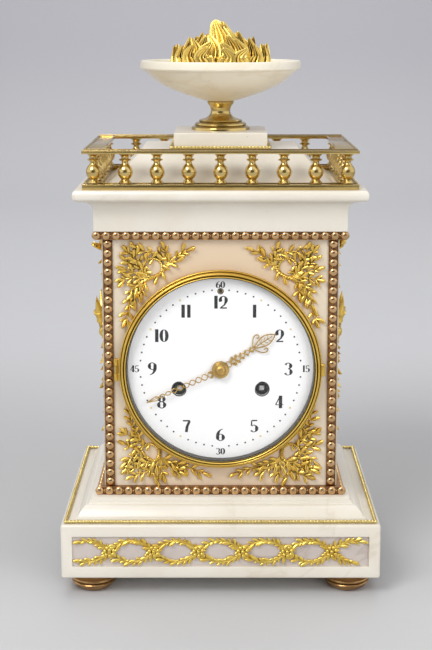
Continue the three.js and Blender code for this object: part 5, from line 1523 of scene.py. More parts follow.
@dataclass
class CornerSprays:
    """Four leafy sprays, each tied into a small wreath, in the corners round the dial."""

    workshop: Workshop
    leaf: float = 8.6
    gap: float = 4.9
    wreath: float = 7.2
    draw_in: float = 0.975
    wreath_leaves: int = 9
    inner_leaves: tuple[float, ...] = (-0.5, 0.3, 1.6)
    clearance: float = 84.0
    upper_centre: tuple[float, float] = (51.8, 77.2)
    lower_centre: tuple[float, float] = (55.4, -67.0)
    upper_tie: Profile = ((56.8, 68.4), (50.8, 70.2), (45.2, 73.6), (41.8, 78.8))
    lower_tie: Profile = ((49.8, -59.6), (47.8, -65.8), (48.2, -73.0))
    upper: tuple[Profile, ...] = (
        ((56, 69.5), (60.5, 75), (63, 82), (66, 90)),
        ((57, 70), (63, 76), (71, 82)),
        ((57, 69.5), (65, 73), (72.5, 75.5)),
        ((57, 68.8), (66, 69.5), (73, 68.6)),
        ((57, 68), (64, 64.5), (69, 59), (70.8, 52), (70.4, 46), (73, 38.5)),
        ((57, 67.5), (60, 62.5), (60.8, 58.5)),
        ((62, 65.5), (66, 60), (66.3, 54.5)),
        ((42, 79.5), (44.5, 86), (51, 88.6), (58, 89.6), (62.5, 91.5)),
        ((41.5, 79.5), (36.5, 84), (31, 88), (26.5, 90)),
        ((41.5, 80.5), (41.6, 87), (42.6, 90.5)),
        ((41, 79), (37, 80.5), (35, 81.5)),
        ((61, 78), (66, 83), (70.5, 88.5)),
    )
    lower: tuple[Profile, ...] = (
        ((48, -73), (54, -79.5), (61, -83), (67, -85)),
        ((48.5, -72), (56, -74.5), (63, -77.5), (70, -79.5)),
        ((48, -73.5), (46.5, -79.5), (45.5, -83)),
        ((47.5, -71), (40.5, -73.5), (31, -76.8), (22, -79.8), (14.5, -82.5)),
        ((47, -72), (40, -77.5), (33.5, -81)),
        ((60, -58), (66, -52.5), (69.5, -43), (71.5, -34)),
        ((61, -59.5), (68, -56.5), (73, -52)),
        ((62.5, -62), (69, -62.5), (73.5, -60.5)),
        ((62.5, -66), (68.5, -69.5), (73, -73.5)),
        ((61, -69), (66, -73), (72, -78)),
        ((63, -57), (64.8, -51), (65.2, -46.5)),
        ((54, -79.5), (53.5, -83.5), (52.5, -85.5)),
    )

    def spray(
        self, node: str, hand: int, centre: tuple[float, float], tie: Profile, branches: Sequence[Profile],
        seed: int,
    ) -> None:
        """Make one spray.

        Args:
            node: The CAD node that it stands for.
            hand: -1 for the left of the dial and 1 for the right.
            centre: The wreath's middle, from the dial's.
            tie: The points of the bound stems, from the dial's middle.
            branches: The stems' points, from the dial's middle.
            seed: The seed of its leaves.
        """
        face = Span.of("front_panel").low.y
        height = Span.of("dial").centre.z
        foliage = Foliage(face, seed)

        def mirrored(points: Profile) -> list[tuple[float, float]]:
            """Bring points to this side of the dial."""
            return [(hand * x * self.draw_in, height + z) for x, z in points]

        def on_ring(angle: float) -> tuple[float, float]:
            """Find a point of the wreath, from the dial's middle."""
            return (centre[0] + self.wreath * math.cos(angle), centre[1] + self.wreath * math.sin(angle))

        for branch in branches:
            foliage.branch(mirrored(branch), 1.05, self.leaf, self.gap, 0.75)
        foliage.tie(mirrored(tie), 1.45, 5.0)
        foliage.tie(mirrored([on_ring(math.tau * step / 12) for step in range(13)]), 1.05, 13.0)
        for step in range(self.wreath_leaves):
            angle = math.tau * step / self.wreath_leaves
            spot = on_ring(angle)
            if math.hypot(*spot) < self.clearance:
                continue
            x, z = mirrored([spot])[0]
            turn = angle + 0.9
            foliage.leaf(x, z, math.atan2(math.sin(turn), hand * math.cos(turn)), self.leaf * 0.9)
            if step % 3 == 0:
                foliage.berry(x, z, 0.9)
        for angle in self.inner_leaves:
            x, z = mirrored([on_ring(angle)])[0]
            turn = angle + 0.5
            foliage.leaf(x, z, math.atan2(-math.sin(turn), -hand * math.cos(turn)), self.leaf * 0.75)
        form = foliage.gathered()
        self.workshop.piece(node + "_leaves", form, Finish.GILT, "gilt", nodes=[node], smooth=50)

    def build(self) -> None:
        """Make the four sprays."""
        for side in Side:
            hand = side.value
            upper = f"spray_upper_{side.word}"
            lower = f"spray_lower_{side.word}"
            self.spray(upper, hand, self.upper_centre, self.upper_tie, self.upper, 11 + hand)
            self.spray(lower, hand, self.lower_centre, self.lower_tie, self.lower, 21 + hand)


@dataclass
class Frieze:
    """Leafy ovals linked by rosettes in the sunk panel of the base."""

    workshop: Workshop
    pitch: float = 33.4
    rise: float = 8.3
    reach: float = 103.5
    stub: float = 97.0
    margin: float = 0.9
    knots: tuple[float, ...] = (-2.5, -1.5, -0.5, 0.5, 1.5, 2.5)
    leaf: float = 7.8
    sink: float = Stonework.frieze_sink
    panel_height: float = Stonework.frieze_height

    def strand(self, foliage: Foliage, start: float, end: float, sign: int) -> None:
        """Lay one leafy arc that grows out of a knot.

        Args:
            foliage: The relief that it joins.
            start: The knot, across.
            end: Where its tip is, across.
            sign: 1 for the upper arc and -1 for the lower.
        """
        middle = Span.of("base_plinth").centre.z
        points = []
        for step in range(9):
            x = start + (end - start) * step / 8
            phase = math.pi * (x - start) / self.pitch
            points.append((x, middle + sign * self.rise * math.sin(abs(phase)) ** 0.8))
        foliage.branch(points, 1.5, self.leaf, 3.9, 0.5)

    def rosette(self, foliage: Foliage, x: float) -> None:
        """Lay one rosette over a crossing.

        Args:
            foliage: The relief that it joins.
            x: Where it is, across.
        """
        middle = Span.of("base_plinth").centre.z
        for step in range(8):
            foliage.leaf(x, middle, math.tau * step / 8 + 0.2, 6.6)
        for step in range(7):
            angle = math.tau * step / 7 + 0.3
            foliage.berry(x + 3.3 * math.cos(angle), middle + 3.3 * math.sin(angle), 1.65)
        foliage.berry(x, middle, 1.7)

    def build(self) -> None:
        """Make the frieze."""
        base = Span.of("base_plinth")
        reach = self.panel_height / 2 - self.margin
        middle = base.centre.z
        foliage = Foliage(base.low.y + self.sink, 5, 0.6, 5.5, middle - reach, middle + reach)
        places = [knot * self.pitch for knot in self.knots]
        for sign in (1, -1):
            for start, end in zip(places[1:], places):
                self.strand(foliage, start, start + 0.84 * (end - start), sign)
            self.strand(foliage, places[0], -self.reach, sign)
        self.strand(foliage, places[-1], self.reach, 1)
        self.strand(foliage, places[-1], self.stub, -1)
        for place in places:
            self.rosette(foliage, place)
        form = foliage.gathered()
        nodes = ["frieze_mount"]
        self.workshop.piece("frieze_leaves", form, Finish.FRIEZE_GILT, "gilt", nodes=nodes, smooth=50)


@dataclass
class SideTrophies:
    """A trophy of two crossed torches, hung from a bow among leaves, on each side panel."""

    workshop: Workshop
    top: float = 86.0
    bottom: float = -60.0
    torch_lean: float = 0.42
    torch_tip: float = 0.13
    shaft: Profile = (
        (0, -26), (0.9, -26), (1.5, -25), (1.3, -22), (1.7, -20), (1.7, -19), (1.4, -18), (2.3, 10),
        (3.1, 11), (3.1, 12), (2.6, 13), (3.4, 18), (3.9, 19), (3.9, 20.5), (3.0, 21), (0, 21),
    )

    def torch(self, lean: float) -> Form:
        """Make one torch.

        Args:
            lean: How far it leans off the upright, in radians.

        Returns:
            The torch over the origin, in front of the face.
        """
        form = Form.lathed(self.shaft, 1.15, 1.0, 24)
        for step in range(5):
            sway = 2.0 * (step - 2)
            shares = (0, 0.25, 0.5, 0.75, 1)
            bends = [0.9 * math.sin(share * 4 + step) for share in shares]
            path = [Vector((sway * 0.6 + bend, 0, 20 + 13 * share)) for bend, share in zip(bends, shares)]
            form.add(Form.swept(path, lambda share: 2.4 * (1 - share) + 0.1, sides=9, flatness=1.3))
        stand = Matrix.Rotation(lean, 4, "Y") @ Matrix.Rotation(self.torch_tip, 4, "X")
        return form.placed(moved(0, -4.2, 0) @ stand)

    def relief(self, seed: int) -> Form:
        """Make one trophy on a face at the origin.

        Args:
            seed: The seed of its leaves.

        Returns:
            The trophy, looking out of the front.
        """
        foliage = Foliage(0.0, seed, stem_lift=1.4, leaf_tilt=30.0)
        foliage.branch([(0, self.top), (1.5, 60), (-1, 40), (0, 20)], 1.6, 10.0, 5.2)
        foliage.branch([(0, -6), (1, -26), (-1, -44), (0, self.bottom)], 1.6, 10.0, 5.0)
        top = self.top
        for hand in (-1, 1):
            loop = [(0, top), (hand * 6, top + 6), (hand * 11, top + 3), (hand * 8, top - 2), (0, top)]
            foliage.rod(loop, 1.5, 0.0)
            foliage.rod([(0, top), (hand * 5, top - 8), (hand * 8, top - 16)], 1.4, 0.5)
            foliage.branch([(0, 2), (hand * 8, -10), (hand * 12, -22)], 1.2, 8.5, 4.6)
            foliage.branch([(0, 14), (hand * 10, 10), (hand * 13, 0)], 1.2, 8.5, 4.6)
            for along, angle in ((top + 4, 0.9), (top - 3, 1.35), (top - 6, 0.5)):
                foliage.leaf(0, along, math.pi / 2 - hand * angle, 13.0, 1.5)
        foliage.berry(0, top, 4.2)
        foliage.berry(0, 14, 5.2)
        form = foliage.gathered()
        for hand in (-1, 1):
            form.add(self.torch(hand * self.torch_lean), moved(0, -0.6 * hand, 14))
        return form

    def build(self) -> None:
        """Make both trophies."""
        height = Span.of("dial").centre.z
        for side in Side:
            node = f"side_mount_{side.word}"
            span = Span.of(node)
            wall = span.low.x if side is Side.RIGHT else span.high.x
            form = self.relief(31 + side.value)
            turn = spun(90 * side.value, "Z")
            form.placed(moved(wall, span.centre.y, height) @ turn)
            self.workshop.piece(node + "_trophy", form, Finish.GILT, "gilt", nodes=[node], smooth=50)


def arc(u: float, v: float, wide: float, tall: float, start: float, end: float) -> list[tuple[float, float]]:
    """Draw part of an ellipse.

    Args:
        u: Its middle, across.
        v: Its middle, upward.
        wide: Its half width.
        tall: Its half height.
        start: The angle where it starts, in degrees.
        end: The angle where it ends, in degrees.

    Returns:
        The points along it.
    """
    steps = max(8, round(abs(end - start) / 12))
    angles = [math.radians(start + (end - start) * step / steps) for step in range(steps + 1)]
    return [(u + wide * math.cos(angle), v + tall * math.sin(angle)) for angle in angles]


@dataclass(frozen=True)
class Stroke:
    """One stroke of a pen that draws upright strokes thick and level strokes thin."""

    points: Profile
    weight: float = 1.0
    thick: float = 0.26
    thin: float = 0.06

    def ribbon(self, place: Callable[[float, float], Vector]) -> Form:
        """Draw the stroke as a thin plate.

        Args:
            place: Where a point of the figure lies on the dial.

        Returns:
            The plate.
        """
        form = Form()
        path = [Vector(point) for point in self.points]
        looped = (path[0] - path[-1]).length < WELD
        if looped:
            path.pop()
        edges = []
        for hand in (-1, 1):
            row = []
            for index, point in enumerate(path):
                before = path[index - 1] if looped or index else point
                after = path[(index + 1) % len(path)] if looped or index < len(path) - 1 else point
                along = (after - before).normalized()
                width = self.weight * (self.thin + (self.thick - self.thin) * along.y ** 4)
                spot = point + Vector((-along.y, along.x)) * hand * width / 2
                row.append(form.cage.verts.new(place(spot.x, spot.y)))
            pairs = list(zip(row, row[1:])) + ([(row[-1], row[0])] if looped else [])
            edges += [form.cage.edges.new(pair) for pair in pairs]
        bmesh.ops.bridge_loops(form.cage, edges=edges)
        bmesh.ops.recalc_face_normals(form.cage, faces=form.cage.faces[:])
        bmesh.ops.solidify(form.cage, geom=form.cage.faces[:], thickness=0.05)
        return form


class Numerals:
    """Upright figures, drawn with a broad pen in a box one unit high."""

    glyphs: dict[str, tuple[Stroke, ...]] = {
        "0": (Stroke(arc(0.32, 0.5, 0.22, 0.46, 0, 360)),),
        "1": (Stroke([(0.2, 0.0), (0.2, 1.0)]),),
        "2": (
            Stroke(arc(0.32, 0.66, 0.22, 0.3, 205, -35) + [(0.4, 0.28), (0.14, 0.1)]),
            Stroke([(0.06, 0.05), (0.6, 0.05)], 1.7),
        ),
        "3": (Stroke(arc(0.28, 0.74, 0.2, 0.23, 160, -90)), Stroke(arc(0.28, 0.26, 0.23, 0.25, 90, -160))),
        "4": (
            Stroke([(0.42, 0.0), (0.42, 1.0)]),
            Stroke([(0.4, 0.98), (0.04, 0.28)], 0.45),
            Stroke([(0.04, 0.27), (0.64, 0.27)]),
        ),
        "5": (
            Stroke([(0.12, 0.94), (0.54, 0.94)], 1.7),
            Stroke([(0.12, 0.94), (0.1, 0.5)], 0.4),
            Stroke(arc(0.28, 0.29, 0.23, 0.28, 130, -150)),
        ),
        "6": (Stroke(arc(0.32, 0.28, 0.22, 0.27, 0, 360)), Stroke(arc(0.54, 0.36, 0.44, 0.6, 95, 180))),
        "7": (
            Stroke([(0.04, 0.92), (0.58, 0.92)], 1.9),
            Stroke([(0.56, 0.9), (0.36, 0.45), (0.3, 0.0)], 0.9),
        ),
        "8": (Stroke(arc(0.32, 0.74, 0.18, 0.23, 0, 360)), Stroke(arc(0.32, 0.26, 0.23, 0.26, 0, 360))),
        "9": (Stroke(arc(0.32, 0.72, 0.22, 0.27, 0, 360)), Stroke(arc(0.1, 0.64, 0.44, 0.6, -85, 0))),
    }

    @staticmethod
    def advance(figure: str) -> float:
        """Give the width of a figure's box over its height."""
        return 0.44 if figure == "1" else 0.66

    def written(self, number: int, height: float, place: Callable[[float, float], Vector]) -> Form:
        """Write a number round a point.

        Args:
            number: The number.
            height: How tall its figures are.
            place: Where a point, measured from the number's middle, lies on the dial.

        Returns:
            The number's plates.
        """
        form = Form()
        figures = str(number)
        cursor = -sum(self.advance(figure) for figure in figures) / 2
        for figure in figures:
            left = cursor
            for stroke in self.glyphs[figure]:
                form.add(stroke.ribbon(lambda u, v: place((left + u) * height, (v - 0.5) * height)))
            cursor += self.advance(figure)
        return form


@dataclass
class Dial:
    """The domed enamel dial with its figures, minute dots and gold marks."""

    workshop: Workshop
    dome: float = 2.0
    rim: float = 1.4
    hour_circle: float = 51.5
    hour_height: float = 9.8
    dot_circle: float = 60.8
    dot_radius: float = 0.68
    quarter_circle: float = 64.8
    quarter_height: float = 5.2
    winding: tuple[float, float, float] = (31.3, -15.4, 5.3)
    regulator: tuple[float, float] = (59.7, 1.9)
    centre_hole: float = 4.6
    print_lift: float = 0.06

    def __post_init__(self) -> None:
        """Measure the dial."""
        self.span = Span.of("dial")
        self.radius = self.span.size.x / 2
        self.height = self.span.centre.z
        self.numerals = Numerals()

    def surface(self, x: float, z: float, lift: float = 0.0) -> Vector:
        """Find a point of the enamel, or one in front of it, from the dial's middle."""
        share = (x * x + z * z) / self.radius ** 2
        return Vector((x, self.span.low.y + self.dome * share - lift, self.height + z))

    def around(self, circle: float, step: int, count: int) -> tuple[float, float]:
        """Find a step of a circle that is split evenly, clockwise from the top."""
        angle = math.tau * step / count
        return (circle * math.sin(angle), circle * math.cos(angle))

    def plate(self) -> None:
        """Make the enamelled plate with its holes."""
        shares = [step / 24 for step in range(25)]
        profile = [(share * self.radius, self.dome * (1 - share * share)) for share in shares]
        profile += [(self.radius, -self.rim), (0, -self.rim)]
        form = Form.turned(profile, 120)
        form.placed(facing(0, self.span.low.y + self.dome, self.height))
        spread, drop, hole = self.winding
        holes = [(spread, drop, hole), (-spread, drop, hole)]
        holes += [(0, self.regulator[0], self.regulator[1]), (0, 0, self.centre_hole)]
        cutter = Form()
        for x, z, radius in holes:
            cutter.add(Form.tube(0, radius, -8, 8, 40), facing(x, self.span.low.y, self.height + z))
        form.bored(cutter)
        self.workshop.piece("dial_enamel", form, Finish.ENAMEL, "enamel", nodes=["dial"])
        # Painted shade: black collars line the walls and rims of the holes.
        collars = Form()
        for x, z, radius in holes[:3]:
            section = [(radius, -1.2), (radius + 0.55, -0.02), (radius + 0.4, 0.1), (radius, 0.06)]
            spot = self.surface(x, z)
            collars.add(Form.turned(section, 40, True), facing(spot.x, spot.y - 0.02, spot.z))
        self.workshop.piece("dial_collars", collars, Finish.DARK, "steel")
        # Painted shade: black rings behind the winding holes, so that the holes show dark.
        wells = Form()
        for x, z, radius in holes[:2]:
            lip = radius + 0.2
            wall = radius + 0.8
            section = [(2.8, -0.9), (wall, -0.9), (wall, 0), (lip, 0), (lip, -0.6), (2.8, -0.6)]
            wells.add(Form.turned(section, 40, True), facing(x, self.span.high.y, self.height + z))
        self.workshop.piece("dial_wells", wells, Finish.DARK, "steel")

    def figures(self) -> None:
        """Print the hours and the quarters."""
        form = Form()
        lift = self.print_lift
        hours = [(step, step, 12, self.hour_circle, self.hour_height) for step in range(1, 13)]
        quarters = [(15 * step, step, 4, self.quarter_circle, self.quarter_height) for step in range(1, 5)]
        for number, step, count, circle, height in hours + quarters:
            x, z = self.around(circle, step, count)
            form.add(self.numerals.written(number, height, lambda u, v: self.surface(x + u, z + v, lift)))
        self.workshop.piece("dial_figures", form, Finish.INK, "enamel", smooth=20)

    def dots(self) -> None:
        """Print the minute dots and the gold marks at the five minutes."""
        dot = Form.tube(0, self.dot_radius, -0.02, self.print_lift, 12)
        star = Form.leaf(2.2, 1.3, 0.05, 0.03)
        dots = Form()
        marks = Form()
        for minute in range(60):
            place = facing(*self.surface(*self.around(self.dot_circle, minute, 60)))
            if minute % 5:
                dots.add(dot, place)
            elif minute % 15:
                turn = Matrix.Rotation(math.tau * minute / 60, 4, "Z") @ moved(-1.1, 0, 0)
                marks.add(star, place @ turn, place @ spun(90, "Z") @ turn)
        self.workshop.piece("dial_dots", dots, Finish.INK, "enamel")
        self.workshop.piece("dial_marks", marks, Finish.GOLD_PRINT, "gilt")

    def build(self) -> None:
        """Make the dial."""
        self.plate()
        self.figures()
        self.dots()


@dataclass
class Hands:
    """Pierced gilt hands, each a lattice of crossing wires with a leaf at its tip."""

    workshop: Workshop
    minute_length: float = 61.4
    minute_angle: float = 245.7
    hour_length: float = 49.5
    hour_angle: float = 56.4
    hub: float = 6.2
    wire_radius: float = 0.42

    def wire(self, form: Form, points: Profile, radius: float, curve: bool = True) -> None:
        """Lay one wire of a hand, and its mirror image.

        Args:
            form: The hand.
            points: The wire's points, across and along the hand.
            radius: Its radius.
            curve: Whether it runs smoothly through the points.
        """
        flat = smooth_path(points) if curve else [Vector(point) for point in points]
        for hand in (-1, 1):
            path = [Vector((hand * point.x, 0, point.y)) for point in flat]
            form.add(Form.swept(path, lambda share: radius, sides=6, flatness=0.8))

    def lattice(self, form: Form, start: float, end: float, wide: float, narrow: float, pitch: float) -> None:
        """Lay two wires that cross at every pitch.

        Args:
            form: The hand.
            start: Where the lattice starts along the hand.
            end: Where it ends.
            wide: How far the wires swing at the start.
            narrow: How far they swing at the end.
            pitch: From crossing to crossing.
        """
        count = round((end - start) / pitch)
        points = []
        for step in range(4 * count + 1):
            share = step / (4 * count)
            swing = wide + (narrow - wide) * share
            points.append((swing * math.sin(share * count * math.pi), start + (end - start) * share))
        self.wire(form, points, self.wire_radius, False)
        for knot in range(1, count):
            form.add(Form.ball(0.62, 8, 6), moved(0, 0, start + (end - start) * knot / count))

    def minute(self) -> None:
        """Make the minute hand with its hub."""
        level = Span.of("minute_hand").high.y - 0.4
        height = Span.of("dial").centre.z
        form = Form()
        self.lattice(form, self.hub - 0.6, 51.0, 2.7, 1.2, 5.05)
        tip = [(0, 50.6), (1.5, 53.4), (0.9, 56.4), (0, self.minute_length - 0.3)]
        self.wire(form, tip, self.wire_radius)
        self.wire(form, [(0, 50.6), (0, self.minute_length - 0.3)], 0.3, False)
        for hand in (-1, 1):
            form.add(Form.leaf(4.2, 1.9, 0.4, 0.3), self.blade(self.hub - 0.3, 90 - 42 * hand))
        form.placed(moved(0, level, height) @ spun(self.minute_angle, "Y"))
        cap = [
            (2.6, -0.3), (self.hub, -0.3), (self.hub, 0.5), (5.9, 0.8), (5.3, 0.75), (5.0, 1.0), (4.6, 1.15),
            (4.1, 1.0), (3.8, 1.3), (3.2, 2.2), (2.5, 2.75), (1.7, 3.0), (1.5, 2.7), (0, 2.6), (0, -0.3),
        ]
        form.add(Form.turned(cap, 48), facing(0, level, height))
        self.workshop.piece("minute_hand_pierced", form, Finish.HAND, "gilt", "minute", ["minute_hand"], 50)

    def blade(self, along: float, degrees: float) -> Matrix:
        """Lay a leaf flat in a hand's plane, along the hand and turned by degrees."""
        return facing(0, 0, along) @ spun(degrees, "Z")

    def hour(self) -> None:
        """Make the hour hand."""
        level = Span.of("hour_hand").centre.y
        height = Span.of("dial").centre.z
        form = Form()
        self.lattice(form, self.hub - 0.6, 30.5, 2.6, 1.3, 4.1)
        for along, size in ((9.5, 5.2), (13.0, 5.0), (17.5, 4.0), (22.0, 3.4), (26.5, 3.0)):
            for hand in (-1, 1):
                form.add(Form.leaf(size, size * 0.46, 0.4, 0.3), self.blade(along, 90 - 48 * hand))
        self.wire(form, [(0, 30), (2.4, 35), (3.7, 40.5), (2.5, 45.4), (0, self.hour_length - 0.3)], 0.5)
        self.wire(form, [(0, 31), (0, 46.5)], 0.34, False)
        for along in (36, 39, 42):
            self.wire(form, [(0, along), (2.5, along + 2.4)], 0.26, False)
        scroll = [(0.4, 29.5), (3.6, 31.4), (6.6, 34), (7.6, 36.8), (6.3, 38.6), (4.8, 37.4), (5.4, 35.9)]
        self.wire(form, scroll, 0.46)
        form.placed(moved(0, level, height) @ spun(self.hour_angle, "Y"))
        collar = Form.turned([(3.8, -0.4), (6.4, -0.4), (6.6, 0.0), (6.4, 0.4), (3.8, 0.4)], 48, True)
        form.add(collar, facing(0, level, height))
        self.workshop.piece("hour_hand_pierced", form, Finish.HAND, "gilt", "hour", ["hour_hand"], 50)

    def build(self) -> None:
        """Make both hands."""
        self.hour()
        self.minute()


@dataclass
class Bezel:
    """The ribbed gilt bezel with its hinge and latch, and the domed glass in it.

    Each rib gives its middle in from the rim, half width, foot and height.
    """

    workshop: Workshop
    lip: float = 70.9
    rebate: float = 72.4
    sight: float = 0.9
    sight_depth: float = 4.6
    glass_seat: float = 5.0
    glass_dome: float = 8.6
    glass_thickness: float = 1.6
    hinge: tuple[float, float] = (-78.8, -65.5)
    hinge_radius: float = 1.6
    pin_bore: float = 0.9
    knuckle_start: float = 3.3
    knuckle_end: float = 8.4
    outer: float = 76.5
    ribs: tuple[tuple[float, float, float, float], ...] = (
        (0.65, 0.65, 2.6, 0.9), (2.6, 1.3, 3.6, 2.7), (4.55, 0.65, 4.9, 2.1),
    )

    def ring(self) -> Form:
        """Turn the ribbed ring.

        Returns:
            The ring, standing on its back.
        """
        outer = self.outer
        section = [(self.rebate, 0), (outer - 0.3, 0), (outer, 0.3), (outer, 2.0)]
        for middle, width, foot, crown in self.ribs:
            for degrees in range(0, 181, 20):
                angle = math.radians(degrees)
                section.append((outer - middle + width * math.cos(angle), foot + crown * math.sin(angle)))
        section += [(self.lip, 5.6), (self.lip, self.glass_seat), (self.rebate, self.glass_seat)]
        return Form.turned(section, 144, True)

    def sight_ring(self) -> Form:
        """Turn the dark ring that closes the gap between the glass and the dial: painted shade and reflection
        at the dial's edge.

        Returns:
            The ring, standing on the bezel's back.
        """
        inner = self.lip - self.sight
        front = self.glass_seat - self.glass_thickness - 0.2
        rear = front - self.sight_depth
        section = [(self.lip - 0.2, front), (inner, rear), (inner + 0.3, rear), (self.lip + 0.2, front)]
        return Form.turned(section, 128, True)

    def build(self) -> None:
        """Make the bezel and its glass."""
        height = Span.of("dial").centre.z
        span = Span.of("bezel")
        back = Span.of("bezel_glass").high.y - self.glass_thickness + self.glass_seat
        form = self.ring().placed(facing(0, back, height))
        x, y = self.hinge
        for sign in (-1, 1):
            foot, head = sorted((sign * self.knuckle_start, sign * self.knuckle_end))
            barrel = Form.tube(self.pin_bore, self.hinge_radius, foot, head, 28).eased(0.2, 2, 50)
            form.add(barrel, moved(x, y, height))
            low = (x + 1.3, y - 0.8, height + foot)
            form.add(Form.block(low, (-self.rebate - 2, y + 0.8, height + head), 0.2))
        low = (self.outer - 1.5, back - 4.0, height - 4.8)
        form.add(Form.block(low, (span.high.x, back, height + 4.8), 1.2, 3))
        self.workshop.piece("bezel_ribbed", form, Finish.BEZEL_GILT, "gilt", "bezel_door", ["bezel"], 50)
        dome_radius = self.lip - 0.6
        rim = self.rebate - 0.3
        wall = self.glass_thickness
        shares = [step / 20 for step in range(21)]
        curve = [(share, self.glass_dome * (1 - share * share)) for share in shares]
        front = [(share * dome_radius, rise) for share, rise in curve]
        inside = [(share * (dome_radius - wall), rise - wall) for share, rise in curve]
        profile = front + [(rim, 0), (rim, -wall)] + inside[::-1]
        glass = Form.turned(profile, 128).placed(facing(0, back - self.glass_seat, height))
        dome = self.workshop.piece("glass_dome", glass, Finish.GLASS, "glass", "bezel_door", ["bezel_glass"])
        dome.visible_shadow = False
        # Painted shade: the dark ring round the dial's edge.
        shade = self.sight_ring().placed(facing(0, back, height))
        self.workshop.piece("bezel_sight_shade", shade, Finish.SHADE, "gilt", "bezel_door")


@dataclass
class Studio:
    """Seamless paper, soft lamps and the camera of the photograph."""

    workshop: Workshop
    half: float = 6000.0
    back: float = 3400.0
    bend: float = 1300.0
    top: float = 3600.0

    def paper(self) -> None:
        """Hang the paper behind the clock and run it under the feet."""
        start = self.back - self.bend
        profile = [(-self.half, 0), (start, 0)]
        for step in range(1, 13):
            angle = math.pi / 2 * step / 12
            profile.append((start + self.bend * math.sin(angle), self.bend - self.bend * math.cos(angle)))
        profile.append((self.back, self.top))
        form = Form()
        points = [form.cage.verts.new((-self.half, y, z)) for y, z in profile]
        lines = [form.cage.edges.new(pair) for pair in zip(points, points[1:])]
        grown = bmesh.ops.extrude_edge_only(form.cage, edges=lines)["geom"]
        fresh = [part for part in grown if isinstance(part, bmesh.types.BMVert)]
        bmesh.ops.translate(form.cage, verts=fresh, vec=(2 * self.half, 0, 0))
        paper = self.workshop.show("studio_paper", form, Finish.PAPER, 60)

    def lamp(self, name: str, place: Vector, aim: Vector, size: float, watts: float) -> bpy.types.Object:
        """Hang one soft lamp.

        Args:
            name: The lamp's name.
            place: Where it hangs, in metres.
            aim: What it looks at, in metres.
            size: How wide it is, in metres.
            watts: How bright it is.

        Returns:
            The lamp.
        """
        light = bpy.data.lights.new(name, "AREA")
        light.shape = "DISK"
        light.size = size
        light.energy = watts
        made = bpy.data.objects.new(name, light)
        made.location = place
        made.rotation_euler = (aim - place).to_track_quat("-Z", "Y").to_euler()
        bpy.context.scene.collection.objects.link(made)
        return made

    def lamps(self) -> None:
        """Hang the lamps and fill the room with a little light."""
        aim = Vector((0, 0, 0.2))
        self.lamp("key_lamp", Vector((-1.0, -1.5, 1.9)), aim, 1.1, 30.0)
        fill = self.lamp("fill_lamp", Vector((1.4, -2.0, 0.9)), aim, 1.4, 22.0)
        fill.visible_glossy = False
        self.lamp("top_lamp", Vector((0.0, 0.1, 2.1)), aim, 1.6, 9.0)
        self.lamp("back_lamp", Vector((0.0, 1.9, 2.4)), Vector((0, 2.6, 0.1)), 2.4, 24.0)
        world = bpy.data.worlds.new("room")
        world.use_nodes = True
        bpy.context.scene.world = world
        room = ShaderGraph.inside(world.node_tree)
        way = room.node("ShaderNodeTexCoord", {}, {}, "Generated")
        across = abs(room.axis(way, 0)).between(0.3, 0.7)
        upward = room.axis(way, 2).between(0.3, 0.75)
        glossy = room.node("ShaderNodeLightPath", {}, {}, "Is Glossy Ray")
        soft = across + upward - across * upward
        shown = room.mix(soft, (0.32, 0.3, 0.28, 1), (2.5, 2.5, 2.55, 1))
        tone = room.mix(glossy, (0.86, 0.87, 0.9, 1), shown)
        sky = room.node("ShaderNodeBackground", {}, {"Color": tone, "Strength": 0.4})
        room.node("ShaderNodeOutputWorld", {}, {"Surface": sky})

    def camera(self) -> None:
        """Set the camera where the photograph was taken from."""
        lens = bpy.data.cameras.new("camera")
        lens.lens = 72
        lens.sensor_width = 36
        lens.shift_x = -0.007
        lens.shift_y = -0.1615
        made = bpy.data.objects.new("camera", lens)
        made.location = (0, -1.0185, 0.426)
        made.rotation_euler = (math.radians(81.5), 0, 0)
        bpy.context.scene.collection.objects.link(made)
        bpy.context.scene.camera = made
        bpy.context.scene.view_settings.view_transform = "Standard"

    def build(self) -> None:
        """Set up the studio."""
        self.camera()
        self.paper()
        self.lamps()


